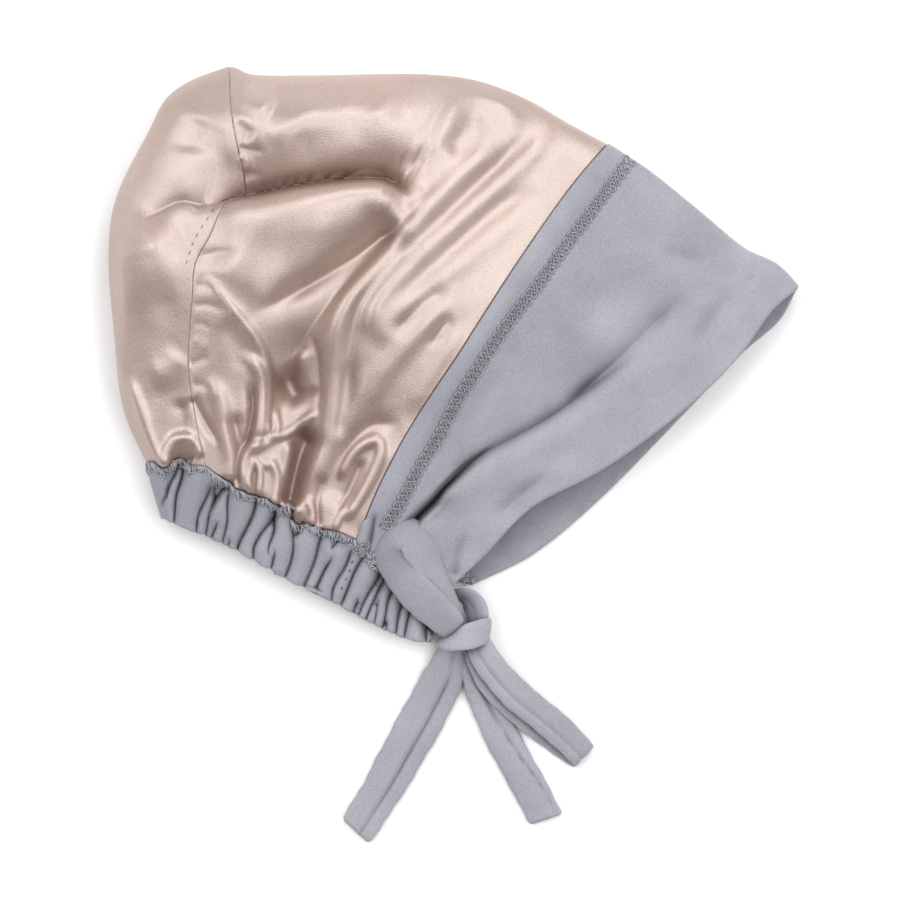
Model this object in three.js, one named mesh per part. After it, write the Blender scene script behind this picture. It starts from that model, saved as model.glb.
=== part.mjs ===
// Drawstring sleep cap lying flat on its side: a satin crown in two panels, a
// doubled jersey front band, a gathered jersey nape casing and a flat tie in a bow.
// Millimetres, +Z up. The face opening looks towards +X and -Y, the nape towards -X
// and -Y, the top of the head towards +Y. The far side of the cap lies on z = 0.
import * as THREE from 'three';

// ---------------------------------------------------------------- driving sizes
const GRID = 0.38; // mm, one step of the plan grid that the tables below are drawn on
const GRID_X = 455; // grid column over the origin; columns run to the right
const GRID_Y = 355; // grid row over the origin; rows run down the plan
const SATIN = 1.6; // wall of the crown panels
const JERSEY = 2.4; // wall of the front band, two layers of jersey
const CASING = 2.4; // wall of the nape casing, two layers round the elastic
const SEAM_GAP = 0.6; // clear gap between two panels at a seam
const NEAR_HEIGHT = 14.5; // height of the near side over the flat parts
const GATHER_COUNT = 13; // gathers along the near side of the nape casing
const GATHER_DEPTH = 1.1; // half height of a gather
const TIE_WIDTH = 16; // flat tie
const TIE_THICK = 2.6;
const KNOT = { x: 463, y: 634, z: 8.4, halfX: 9.6, halfY: 5.6, halfZ: 7.4 };

const COLOUR = { satin: 0xd9bfae, jersey: 0xa5a7b4 };

// ------------------------------------------------------------------- plan tables
// Fold of the cap, from the nape round the back and over the top to the face hem:
// rise is the height of the fold line, near and far how far each side takes to roll.
const FOLD_CASING = [
  { x: 163, y: 519 }, { x: 153, y: 491 }, { x: 147, y: 463 },
];
const FOLD_BACK = [
  { x: 147, y: 463 }, { x: 125, y: 412 }, { x: 115, y: 330 }, { x: 110, y: 249 },
  { x: 117, y: 200 }, { x: 150, y: 132 }, { x: 168, y: 99 }, { x: 192, y: 82 },
  { x: 229, y: 68 },
];
const FOLD_TOP = [
  { x: 229, y: 68 }, { x: 252, y: 75 }, { x: 310, y: 77 }, { x: 430, y: 76 },
  { x: 477, y: 82 }, { x: 526, y: 100 }, { x: 568, y: 124 }, { x: 607, y: 145 },
];
const FOLD_BAND = [
  { x: 607, y: 145 }, { x: 648, y: 172 }, { x: 698, y: 212 }, { x: 746, y: 251 },
  { x: 776, y: 265 }, { x: 799, y: 288 },
];
const FOLD_ROLL = [
  // at: 0 nape .. 1 face hem along the whole fold
  { at: 0.0, rise: 7.5, near: 20, far: 14 },
  { at: 0.06, rise: 9.0, near: 26, far: 18 },
  { at: 0.16, rise: 14.0, near: 52, far: 34 },
  { at: 0.45, rise: 16.0, near: 62, far: 38 },
  { at: 0.62, rise: 15.0, near: 56, far: 36 },
  { at: 0.79, rise: 10.0, near: 34, far: 22 },
  { at: 1.0, rise: 7.5, near: 24, far: 16 },
];
// Seam between back and front panel of the crown, from the nape up.
const SEAM_BACK = [
  { x: 206, y: 467 }, { x: 193, y: 400 }, { x: 192, y: 350 }, { x: 196, y: 275 },
  { x: 218, y: 228 }, { x: 240, y: 196 }, { x: 238, y: 150 }, { x: 229, y: 68 },
];
// The same seam on the far side.
const SEAM_BACK_FAR = [
  { x: 206, y: 467 }, { x: 197, y: 380 }, { x: 202, y: 270 }, { x: 219, y: 160 },
  { x: 229, y: 68 },
];
// Seam between crown and front band, from the nape up.
const SEAM_FRONT = [
  { x: 356, y: 541 }, { x: 385, y: 474 }, { x: 420, y: 412 }, { x: 460, y: 352 },
  { x: 519, y: 261 }, { x: 573, y: 185 }, { x: 607, y: 145 },
];
// Face hem, near and far side, from the junction with the nape up.
const HEM_NEAR = [
  { x: 449, y: 590 }, { x: 486, y: 554 }, { x: 530, y: 509 }, { x: 607, y: 467 },
  { x: 691, y: 404 }, { x: 737, y: 359 }, { x: 774, y: 309 }, { x: 799, y: 288 },
];
const HEM_FAR = [
  { x: 472, y: 586 }, { x: 532, y: 556 }, { x: 597, y: 503 }, { x: 693, y: 406 },
  { x: 746, y: 351 }, { x: 782, y: 319 }, { x: 799, y: 288 },
];
// Far edge of the front band beside the nape casing.
const FAR_FOOT = [{ x: 356, y: 541 }, { x: 413, y: 566 }, { x: 472, y: 586 }];
// Upper and lower edge of the nape casing, from the back fold to the junction.
const CASING_TOP = [
  { x: 147, y: 463 }, { x: 180, y: 467 }, { x: 206, y: 467 }, { x: 256, y: 494 },
  { x: 290, y: 510 }, { x: 324, y: 530 }, { x: 356, y: 541 }, { x: 400, y: 562 },
  { x: 449, y: 590 },
];
const CASING_FOOT = [
  { x: 163, y: 519 }, { x: 195, y: 532 }, { x: 237, y: 551 }, { x: 282, y: 577 },
  { x: 332, y: 602 }, { x: 361, y: 618 }, { x: 404, y: 638 }, { x: 429, y: 643 },
];
// Broad rises of the near side: radii in grid steps, rise in mm.
const PUFFS = [
  { name: 'crown', x: 305, y: 250, rx: 190, ry: 175, rise: 29 },
  { name: 'top roll', x: 330, y: 128, rx: 130, ry: 60, rise: 6 },
  { name: 'band', x: 640, y: 280, rx: 90, ry: 110, rise: 3 },
  { name: 'junction', x: 445, y: 592, rx: 70, ry: 50, rise: -4 },
];
// Main folds of the near side, each along a bent line from 0 over m to 1. Rise is
// negative for a crease; left and right are its half widths on the two sides.
const FOLDS = [
  { name: 'main crease', x0: 222, y0: 202, xm: 320, ym: 182, x1: 414, y1: 192, left: 36, right: 13, rise: -9 },
  { name: 'lip', x0: 222, y0: 226, xm: 320, ym: 203, x1: 412, y1: 212, left: 13, right: 28, rise: 3.5 },
  { name: 'back crease', x0: 120, y0: 257, xm: 165, ym: 222, x1: 208, y1: 208, left: 20, right: 16, rise: -3.5 },
  { name: 'shadow crease', x0: 418, y0: 208, xm: 350, ym: 283, x1: 292, y1: 367, left: 14, right: 22, rise: -5 },
  { name: 'hook', x0: 407, y0: 163, xm: 457, ym: 106, x1: 509, y1: 136, left: 18, right: 20, rise: 2.6 },
  { name: 'long fold', x0: 476, y0: 166, xm: 358, ym: 290, x1: 306, y1: 490, left: 18, right: 18, rise: 3 },
  { name: 'long crease', x0: 547, y0: 119, xm: 425, ym: 239, x1: 342, y1: 420, left: 16, right: 16, rise: -2.6 },
  { name: 'second fold', x0: 561, y0: 126, xm: 450, ym: 225, x1: 364, y1: 335, left: 16, right: 16, rise: 2.4 },
  { name: 'third crease', x0: 540, y0: 185, xm: 460, ym: 241, x1: 388, y1: 314, left: 16, right: 16, rise: -2 },
  { name: 'left crest', x0: 212, y0: 280, xm: 256, ym: 338, x1: 267, y1: 432, left: 14, right: 22, rise: 3 },
  { name: 'pocket', x0: 262, y0: 320, xm: 296, ym: 402, x1: 290, y1: 500, left: 18, right: 16, rise: -5 },
  { name: 'foot fold', x0: 412, y0: 400, xm: 362, ym: 452, x1: 334, y1: 524, left: 15, right: 15, rise: 2.6 },
  { name: 'back ridge', x0: 152, y0: 300, xm: 158, ym: 378, x1: 178, y1: 446, left: 20, right: 20, rise: 2 },
  { name: 'band crease', x0: 424, y0: 512, xm: 560, ym: 410, x1: 688, y1: 300, left: 22, right: 14, rise: -2.8 },
  { name: 'band flap', x0: 438, y0: 522, xm: 566, ym: 428, x1: 676, y1: 348, left: 14, right: 22, rise: 2 },
  { name: 'hem crease', x0: 724, y0: 287, xm: 718, ym: 322, x1: 690, y1: 354, left: 12, right: 12, rise: -1.4 },
];

// Centre lines of the bow, with the direction of the tie's width at each row.
const TIE_NEAR = [
  { x: 437, y: 619, z: 8.6, wx: -0.2, wy: 0.9, wz: 0.3 },
  { x: 441, y: 621, z: 8.5, wx: -0.2, wy: 0.9, wz: 0.3 },
  { x: 445, y: 623, z: 8.4, wx: -0.2, wy: 0.9, wz: 0.3 },
];
const TIE_FAR = [
  { x: 458, y: 594, z: 4.6, wx: 0.1, wy: 0.6, wz: 0.8 },
  { x: 467, y: 598, z: 5.4, wx: 0.3, wy: 0.6, wz: 0.8 },
  { x: 474, y: 606, z: 6.6, wx: 0.7, wy: 0.4, wz: 0.7 },
  { x: 476, y: 614, z: 7.6, wx: 0.9, wy: 0.1, wz: 0.5 },
];
const LOOP_LEFT = [
  { x: 442, y: 616, z: 19, wx: 0.78, wy: 0.5, wz: 0.3 },
  { x: 414, y: 588, z: 20, wx: 0.78, wy: 0.5, wz: 0.34 },
  { x: 397, y: 560, z: 21.6, wx: 0.7, wy: 0.3, wz: 0.6 },
  { x: 402, y: 536, z: 23.5, wx: 0.3, wy: 0.1, wz: 1.0 },
  { x: 419, y: 533, z: 23.7, wx: 0.0, wy: 0.1, wz: 1.0 },
  { x: 434, y: 552, z: 22.6, wx: -0.3, wy: -0.15, wz: 0.9 },
  { x: 444, y: 580, z: 20.1, wx: -0.4, wy: -0.18, wz: 0.88 },
  { x: 455, y: 609, z: 14.8, wx: -0.4, wy: -0.18, wz: 0.88 },
];
const LOOP_RIGHT = [
  { x: 481, y: 650, z: 13.0, wx: 0.664, wy: 0.747, wz: 0 },
  { x: 510, y: 684, z: 10.4, wx: 0.664, wy: 0.747, wz: 0 },
  { x: 545, y: 719, z: 7.0, wx: 0.664, wy: 0.747, wz: 0 },
  { x: 573, y: 746, z: 5.2, wx: 0.664, wy: 0.747, wz: 0 },
  { x: 582, y: 755, z: 3.3, wx: 0.664, wy: 0.747, wz: 0 },
  { x: 573, y: 746, z: 1.4, wx: 0.664, wy: 0.747, wz: 0 },
  { x: 545, y: 719, z: 3.6, wx: 0.664, wy: 0.747, wz: 0 },
  { x: 510, y: 684, z: 7.4, wx: 0.664, wy: 0.747, wz: 0 },
  { x: 481, y: 650, z: 10.0, wx: 0.664, wy: 0.747, wz: 0 },
];
const TAIL_LEFT = [
  { x: 457, y: 650, z: 3.0, wx: 0.88, wy: -0.47, wz: 0 },
  { x: 439, y: 696, z: 1.6, wx: 0.86, wy: -0.5, wz: 0 },
  { x: 411, y: 744, z: 1.5, wx: 0.86, wy: -0.5, wz: 0 },
  { x: 380, y: 794, z: 1.5, wx: 0.87, wy: -0.49, wz: 0 },
  { x: 353, y: 833, z: 1.5, wx: 0.8, wy: -0.6, wz: 0 },
];
const TAIL_RIGHT = [
  { x: 470, y: 653, z: 6.6, wx: 0.9, wy: 0.42, wz: 0 },
  { x: 480, y: 684, z: 5.7, wx: 0.9, wy: 0.42, wz: 0 },
  { x: 495, y: 715, z: 2.4, wx: 0.9, wy: 0.46, wz: 0 },
  { x: 521, y: 762, z: 1.5, wx: 0.88, wy: 0.48, wz: 0 },
  { x: 550, y: 824, z: 1.5, wx: 0.9, wy: 0.42, wz: 0 },
];

// ------------------------------------------------------------------- plan curves
const CURVE_STEPS = 160;
const EPS = 1e-4;
const mix = (a, b, t) => a + (b - a) * t;
const clamp01 = (t) => Math.min(1, Math.max(0, t));
const smooth01 = (t) => { const c = clamp01(t); return c * c * (3 - 2 * c); };
const toX = (x) => (x - GRID_X) * GRID;
const toY = (y) => (GRID_Y - y) * GRID;

// A smooth line through a table, read at 0..1 of its length, in grid steps.
function line(rows) {
  const curve = new THREE.CatmullRomCurve3(rows.map((r) => new THREE.Vector3(r.x, r.y, 0)));
  const points = curve.getSpacedPoints(CURVE_STEPS);
  return (t) => {
    const f = t * CURVE_STEPS;
    const i = Math.min(CURVE_STEPS - 1, Math.max(0, Math.floor(f)));
    return [mix(points[i].x, points[i + 1].x, f - i), mix(points[i].y, points[i + 1].y, f - i)];
  };
}

// A patch spanned by four lines: left and right run up, foot and top run rightwards.
function patch(left, right, foot, top) {
  const [a, b, c, d] = [left(0), right(0), left(1), right(1)];
  return (s, v) => [0, 1].map((k) =>
    mix(left(s)[k], right(s)[k], v) + mix(foot(v)[k], top(v)[k], s)
    - mix(mix(a[k], b[k], v), mix(c[k], d[k], v), s));
}

const foldLines = [FOLD_CASING, FOLD_BACK, FOLD_TOP, FOLD_BAND].map(line);
const foldPoints = foldLines.flatMap((f, n) => {
  const count = n === 0 ? 12 : 60;
  return Array.from({ length: count }, (_, i) => f(i / count));
}).concat([foldLines[3](1)]);
const foldLength = [0];
for (let i = 1; i < foldPoints.length; i++)
  foldLength.push(foldLength[i - 1] + Math.hypot(
    foldPoints[i][0] - foldPoints[i - 1][0], foldPoints[i][1] - foldPoints[i - 1][1]));

// Nearest point of a polyline: distance, place along it and side.
function nearest(points, x, y) {
  let best = { d2: Infinity, at: 0, side: 0 };
  for (let i = 0; i + 1 < points.length; i++) {
    const [ax, ay] = points[i];
    const dx = points[i + 1][0] - ax, dy = points[i + 1][1] - ay;
    const t = clamp01(((x - ax) * dx + (y - ay) * dy) / (dx * dx + dy * dy));
    const ex = x - ax - t * dx, ey = y - ay - t * dy;
    const d2 = ex * ex + ey * ey;
    if (d2 < best.d2) best = { d2, at: i + t, side: dx * ey - dy * ex };
  }
  return best;
}

function rollAt(at) {
  const i = Math.max(1, FOLD_ROLL.findIndex((r) => r.at >= at));
  const a = FOLD_ROLL[i - 1], b = FOLD_ROLL[i];
  const t = smooth01((at - a.at) / (b.at - a.at));
  return { rise: mix(a.rise, b.rise, t), near: mix(a.near, b.near, t), far: mix(a.far, b.far, t) };
}

// How far a point is from the fold of the cap, and how the cloth rolls there.
function atFold(x, y) {
  const n = nearest(foldPoints, x, y);
  const i = Math.min(foldLength.length - 2, Math.floor(n.at));
  const along = mix(foldLength[i], foldLength[i + 1], n.at - i) / foldLength[foldLength.length - 1];
  return { d: Math.sqrt(n.d2), ...rollAt(clamp01(along)) };
}
const roll = (t) => (t >= 1 ? 1 : Math.sqrt(Math.max(0, 1 - (1 - t) * (1 - t))));

// ---------------------------------------------------------------------- heights
const foldRuns = FOLDS.map((f) => ({ ...f, points: Array.from({ length: 17 }, (_, i) => {
  const t = i / 16;
  const cx = 2 * f.xm - (f.x0 + f.x1) / 2, cy = 2 * f.ym - (f.y0 + f.y1) / 2;
  return [0, 1].map((k) => {
    const [p, c, q] = k ? [f.y0, cy, f.y1] : [f.x0, cx, f.x1];
    return (1 - t) * (1 - t) * p + 2 * t * (1 - t) * c + t * t * q;
  });
}) }));

function folds(x, y) {
  let sum = 0;
  for (const f of foldRuns) {
    const n = nearest(f.points, x, y);
    const width = n.side > 0 ? f.right : f.left;
    const s = n.at / 16;
    sum += f.rise * Math.exp(-n.d2 / (width * width)) * smooth01(s / 0.22) * smooth01((1 - s) / 0.22);
  }
  return sum;
}

function nearHeight(x, y) {
  const f = atFold(x, y);
  let h = NEAR_HEIGHT;
  for (const p of PUFFS) h += p.rise * Math.exp(-(((x - p.x) / p.rx) ** 2) - ((y - p.y) / p.ry) ** 2);
  h += folds(x, y) * smooth01(f.d / 40);
  return mix(f.rise, h, roll(f.d / f.near));
}

function farHeight(x, y, wall) {
  const f = atFold(x, y);
  return mix(f.rise, wall / 2, roll(f.d / f.far));
}

// ------------------------------------------------------------------------ panels
// w runs 0..1 up the near side to the fold and 1..2 back down the far side. Near the
// fold the steps shrink with the square of the distance, so the roll stays round.
const BEND = 0.55;
function towardsFold(w) {
  const t = w > 1 ? 2 - w : w;
  const c = 1 / (1 - BEND * BEND);
  return t < BEND ? 2 * c * (1 - BEND) * t : 1 - c * (1 - t) * (1 - t);
}

// A closed wall of even thickness round a surface at(w, v), split into rows along w
// and columns along v. Its outer side is the one that looks up on the near side.
function wall(at, wSteps, vSteps, thickness) {
  const rows = wSteps.length, cols = vSteps.length;
  const outer = [], inner = [];
  for (const w of wSteps) for (const v of vSteps) {
    const p = at(w, v);
    const dw = at(Math.min(w + EPS, 2), v).sub(at(Math.max(w - EPS, 0), v));
    const dv = at(w, Math.min(v + EPS, 1)).sub(at(w, Math.max(v - EPS, 0)));
    const n = dv.cross(dw).normalize().multiplyScalar(thickness / 2);
    const o = p.clone().add(n), i = p.clone().sub(n);
    o.z = Math.max(0, o.z);
    outer.push(o);
    inner.push(i);
  }
  const vertices = outer.concat(inner), half = outer.length, index = [];
  const quad = (a, b, c, d) => index.push(a, b, c, a, c, d);
  const id = (r, c) => r * cols + c;
  for (let r = 0; r + 1 < rows; r++) for (let c = 0; c + 1 < cols; c++) {
    quad(id(r, c), id(r, c + 1), id(r + 1, c + 1), id(r + 1, c));
    quad(half + id(r, c), half + id(r + 1, c), half + id(r + 1, c + 1), half + id(r, c + 1));
  }
  for (let c = 0; c + 1 < cols; c++) {
    quad(id(0, c), half + id(0, c), half + id(0, c + 1), id(0, c + 1));
    quad(id(rows - 1, c), id(rows - 1, c + 1), half + id(rows - 1, c + 1), half + id(rows - 1, c));
  }
  for (let r = 0; r + 1 < rows; r++) {
    quad(id(r, 0), id(r + 1, 0), half + id(r + 1, 0), half + id(r, 0));
    quad(id(r, cols - 1), half + id(r, cols - 1), half + id(r + 1, cols - 1), id(r + 1, cols - 1));
  }
  const geometry = new THREE.BufferGeometry();
  geometry.setAttribute('position', new THREE.Float32BufferAttribute(vertices.flatMap((p) => p.toArray()), 3));
  geometry.setIndex(index);
  geometry.computeVertexNormals();
  return geometry;
}

const even = (count, from = 0, to = 1) => Array.from({ length: count + 1 }, (_, i) => mix(from, to, i / count));
const bothSides = (near, far) => even(near).concat(even(far, 1, 2).slice(1));

// Lifts a plan (s towards the fold, v across) onto the two sides of the cap and keeps
// half a seam gap at the edges that meet another panel.
function surface(plan, thickness, gaps, extra) {
  return (w, v) => {
    const far = w > 1, s = towardsFold(w);
    const span = (p, q) => Math.max(2, Math.hypot(p[0] - q[0], p[1] - q[1]) * GRID);
    const across = span(plan(s, 0, far), plan(s, 1, far));
    const up = span(plan(0, v, far), plan(1, v, far));
    const g = SEAM_GAP / 2;
    const vv = mix((gaps.left ? g / across : 0), 1 - (gaps.right ? g / across : 0), v);
    const ss = mix((gaps.foot ? g / up : 0), 1, s);
    const [x, y] = plan(ss, vv, far);
    const z = far ? farHeight(x, y, thickness) : nearHeight(x, y);
    return new THREE.Vector3(toX(x), toY(y), z + (extra ? extra(ss, vv, far) : 0));
  };
}

const seamBack = line(SEAM_BACK), seamBackFar = line(SEAM_BACK_FAR), seamFront = line(SEAM_FRONT);
const hemNear = line(HEM_NEAR), hemFar = line(HEM_FAR), farFoot = line(FAR_FOOT);
const casingTop = line(CASING_TOP), casingFoot = line(CASING_FOOT);
const [foldCasing, foldBack, foldTop, foldBand] = foldLines;

// Where along the casing the two seams of the crown come down.
function placeOn(curve, target) {
  let best = 0, least = Infinity;
  for (let i = 0; i <= 1000; i++) {
    const [x, y] = curve(i / 1000);
    const d = Math.hypot(x - target.x, y - target.y);
    if (d < least) [least, best] = [d, i / 1000];
  }
  return best;
}
const atSeamBack = placeOn(casingTop, SEAM_BACK[0]);
const atSeamFront = placeOn(casingTop, SEAM_FRONT[0]);

const frontFoot = (v) => casingTop(mix(atSeamBack, atSeamFront, v));
const frontNear = patch(seamBack, seamFront, frontFoot, foldTop);
const frontFar = patch(seamBackFar, seamFront, frontFoot, foldTop);
const frontPlan = (s, v, far) => (far ? frontFar(s, v) : frontNear(s, v));
// On the back panel s runs from the seam to the back fold and v up from the nape.
const backFoot = (s) => casingTop(mix(atSeamBack, 0, s));
const peak = foldBack(1);
const backNear = patch(seamBack, foldBack, backFoot, () => peak);
const backFar = patch(seamBackFar, foldBack, backFoot, () => peak);
const backPlan = (s, v, far) => (far ? backFar : backNear)(mix(0.004, 0.975, v), s);
const bandNear = patch(seamFront, hemNear, (v) => casingTop(mix(atSeamFront, 1, v)), foldBand);
const bandFar = patch(seamFront, hemFar, farFoot, foldBand);
const bandPlan = (s, v, far) => (far ? bandFar(s, v) : bandNear(s, v));
// On the casing s runs from the junction to the back fold and v up from its foot.
const casingPlan = (s, v) => [0, 1].map((k) => mix(casingFoot(1 - s)[k], casingTop(1 - s)[k], v));
const gather = (s, v, far) => (far ? 0
  : GATHER_DEPTH * Math.cos(2 * Math.PI * GATHER_COUNT * (1 - s) + 0.9 * v) * smooth01((1 - s) / 0.1) * smooth01((1 - v) / 0.25));

// -------------------------------------------------------------------------- ties
function tieSection(width, thick) {
  const shape = new THREE.Shape();
  const [a, b] = [width / 2, thick / 2];
  [[a, -b / 2], [a, b / 2], [a - b, b], [-a + b, b], [-a, b / 2], [-a, -b / 2], [-a + b, -b], [a - b, -b]]
    .forEach(([x, y], i) => (i ? shape.lineTo(x, y) : shape.moveTo(x, y)));
  shape.closePath();
  return shape;
}

function tie(rows, width, thick, steps) {
  const path = new THREE.CatmullRomCurve3(rows.map((r) => new THREE.Vector3(toX(r.x), toY(r.y), r.z)));
  const widths = new THREE.CatmullRomCurve3(rows.map((r) => new THREE.Vector3(r.wx, r.wy, r.wz)));
  path.computeFrenetFrames = (count) => {
    const frames = { tangents: [], normals: [], binormals: [] };
    for (let i = 0; i <= count; i++) {
      const t = path.getUtoTmapping(i / count);
      const tangent = path.getTangent(t);
      const normal = widths.getPoint(t);
      normal.addScaledVector(tangent, -normal.dot(tangent)).normalize();
      frames.tangents.push(tangent);
      frames.normals.push(normal);
      frames.binormals.push(tangent.clone().cross(normal));
    }
    return frames;
  };
  return new THREE.ExtrudeGeometry(tieSection(width, thick), { steps, extrudePath: path, bevelEnabled: false });
}

function knot() {
  const geometry = new THREE.SphereGeometry(1, 14, 9);
  geometry.scale(KNOT.halfX, KNOT.halfY, KNOT.halfZ);
  geometry.rotateZ(0.38);
  geometry.translate(toX(KNOT.x), toY(KNOT.y), KNOT.z);
  return geometry;
}

// ---------------------------------------------------------------------- assembly
const satin = (name) => new THREE.MeshStandardMaterial({ name, color: COLOUR.satin, roughness: 0.35, metalness: 0 });
const jersey = (name) => new THREE.MeshStandardMaterial({ name, color: COLOUR.jersey, roughness: 0.9, metalness: 0 });

const cap = new THREE.Group();
cap.name = 'sleep_cap';
function add(name, geometry, material) {
  const mesh = new THREE.Mesh(geometry, material);
  mesh.name = name;
  cap.add(mesh);
}

add('crown_front', wall(surface(frontPlan, SATIN, { left: true, right: true, foot: true }),
  bothSides(23, 8), even(23), SATIN), satin('satin_front'));
add('crown_back', wall(surface(backPlan, SATIN, { foot: true }),
  bothSides(9, 6), even(16), SATIN), satin('satin_back'));
add('front_band', wall(surface(bandPlan, JERSEY, { left: true, foot: true }),
  bothSides(20, 9), even(10), JERSEY), jersey('jersey_band'));
add('nape_band', wall(surface(casingPlan, CASING, { right: true }, gather),
  bothSides(46, 10), even(3), CASING), jersey('jersey_casing'));
add('tie_near', tie(TIE_NEAR, 8, TIE_THICK, 2), jersey('jersey_tie_near'));
add('tie_far', tie(TIE_FAR, 8, TIE_THICK, 6), jersey('jersey_tie_far'));
add('bow_loop_left', tie(LOOP_LEFT, TIE_WIDTH * 0.8, TIE_THICK, 20), jersey('jersey_loop_left'));
add('bow_loop_right', tie(LOOP_RIGHT, 12, 1.8, 30), jersey('jersey_loop_right'));
add('tail_left', tie(TAIL_LEFT, TIE_WIDTH, TIE_THICK, 12), jersey('jersey_tail_left'));
add('tail_right', tie(TAIL_RIGHT, TIE_WIDTH * 0.84, TIE_THICK, 12), jersey('jersey_tail_right'));
add('bow_knot', knot(), jersey('jersey_knot'));

export default cap;
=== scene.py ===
"""Drawstring sleep cap lying flat on its side, seen from above.

Lengths in the plan tables are steps of the plan grid (0.38 mm), x to the right and y down;
heights are millimetres above the surface that the cap lies on.
"""

import math

import bpy
import numpy as np
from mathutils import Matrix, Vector


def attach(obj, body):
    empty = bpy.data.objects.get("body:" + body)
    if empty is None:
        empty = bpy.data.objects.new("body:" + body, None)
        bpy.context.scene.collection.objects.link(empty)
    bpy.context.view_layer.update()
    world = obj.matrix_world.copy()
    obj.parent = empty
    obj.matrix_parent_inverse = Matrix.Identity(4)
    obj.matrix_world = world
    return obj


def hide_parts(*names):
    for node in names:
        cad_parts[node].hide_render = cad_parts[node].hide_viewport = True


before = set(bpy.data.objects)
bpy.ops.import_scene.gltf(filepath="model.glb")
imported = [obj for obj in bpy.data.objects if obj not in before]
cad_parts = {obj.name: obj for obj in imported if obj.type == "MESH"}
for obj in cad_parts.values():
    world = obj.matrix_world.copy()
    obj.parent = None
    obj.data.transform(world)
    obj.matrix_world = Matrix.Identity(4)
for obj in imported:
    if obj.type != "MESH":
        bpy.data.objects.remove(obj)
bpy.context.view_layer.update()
SCENE = bpy.context.scene
RNG = np.random.default_rng(11)

GRID, GRID_X, GRID_Y = 0.38, 455.0, 355.0
NEAR_HEIGHT = 14.5
SATIN_WALL, JERSEY_WALL, CASING_WALL = 1.0, 2.2, 2.0
SATIN_REST, JERSEY_REST = 0.8, 1.2  # mid height of the walls that lie on the surface


# ---------------------------------------------------------------- camera, first of all
def add_camera():
    data = bpy.data.cameras.new("camera")
    cam = bpy.data.objects.new("camera", data)
    SCENE.collection.objects.link(cam)
    distance, plane = 1.9, 0.014
    wide = 900 * GRID / 1000.0
    data.sensor_fit = "HORIZONTAL"
    data.sensor_width = 36.0
    data.lens = 36.0 * (distance - plane) / wide
    data.clip_end = 20
    cam.location = ((450 - GRID_X) * GRID / 1000.0, (GRID_Y - 450) * GRID / 1000.0, distance)
    cam.rotation_euler = (0, 0, 0)
    SCENE.camera = cam


add_camera()

# ------------------------------------------------------------------------ plan tables
FOLD_CASING = [(163, 519), (153, 491), (147, 463)]
FOLD_BACK = [(147, 463), (125, 412), (115, 330), (110, 249), (117, 200), (150, 132),
             (168, 99), (192, 82), (229, 68)]
FOLD_TOP = [(229, 68), (237, 70), (247, 75), (262, 77), (310, 77), (430, 76), (477, 82), (526, 100), (568, 124), (607, 145)]
FOLD_BAND = [(607, 145), (648, 172), (698, 212), (746, 251), (776, 265), (799, 288)]
# at, rise, near, far
FOLD_ROLL = [(0.0, 7.5, 20, 14), (0.06, 9.0, 26, 18), (0.16, 14.0, 42, 34), (0.45, 16.0, 62, 38),
             (0.62, 15.0, 56, 36), (0.79, 10.0, 34, 22), (1.0, 7.5, 24, 16)]
SEAM_BACK = [(206, 467), (195, 410), (190, 365), (195, 300), (198, 266), (212, 240), (227, 210),
             (246, 202), (246, 180), (240, 152), (233, 112), (229, 68)]
SEAM_BACK_FAR = [(206, 467), (197, 380), (202, 270), (219, 160), (229, 68)]
SEAM_FRONT = [(356, 541), (385, 474), (420, 412), (460, 352), (519, 261), (573, 185), (607, 145)]
HEM_NEAR = [(449, 590), (486, 554), (530, 509), (607, 467), (691, 404), (737, 359), (774, 309), (799, 288)]
HEM_FAR = [(472, 586), (532, 556), (597, 503), (693, 406), (746, 351), (782, 319), (799, 288)]
FAR_FOOT = [(356, 541), (413, 566), (472, 586)]
CASING_TOP = [(147, 463), (154, 462), (162, 467), (168, 467), (172, 461), (179, 458), (185, 460), (190, 465),
              (206, 467), (216, 474), (225, 479), (232, 483), (237, 489), (243, 491), (251, 494), (258, 496),
              (267, 499), (276, 504), (282, 507), (288, 507), (292, 512), (294, 521), (298, 525), (303, 525),
              (308, 523), (314, 527), (321, 529), (328, 530), (336, 532), (346, 536), (356, 541),
              (366, 548), (376, 554), (400, 564), (424, 576), (449, 590)]
CASING_BASE = [(147, 463), (178, 461), (206, 467), (244, 489), (282, 507), (320, 526), (356, 541), (400, 564), (449, 590)]
CASING_FOOT = [(163, 519), (195, 532), (237, 551), (282, 577), (332, 602), (361, 618), (404, 638), (429, 643)]
# x, y, rx, ry, rise
PUFFS = [(305, 250, 190, 175, 29), (320, 122, 150, 52, 9), (640, 280, 90, 110, 3), (445, 592, 70, 50, -4),
         (290, 380, 38, 56, -11), (136, 234, 26, 16, 4)]

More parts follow.
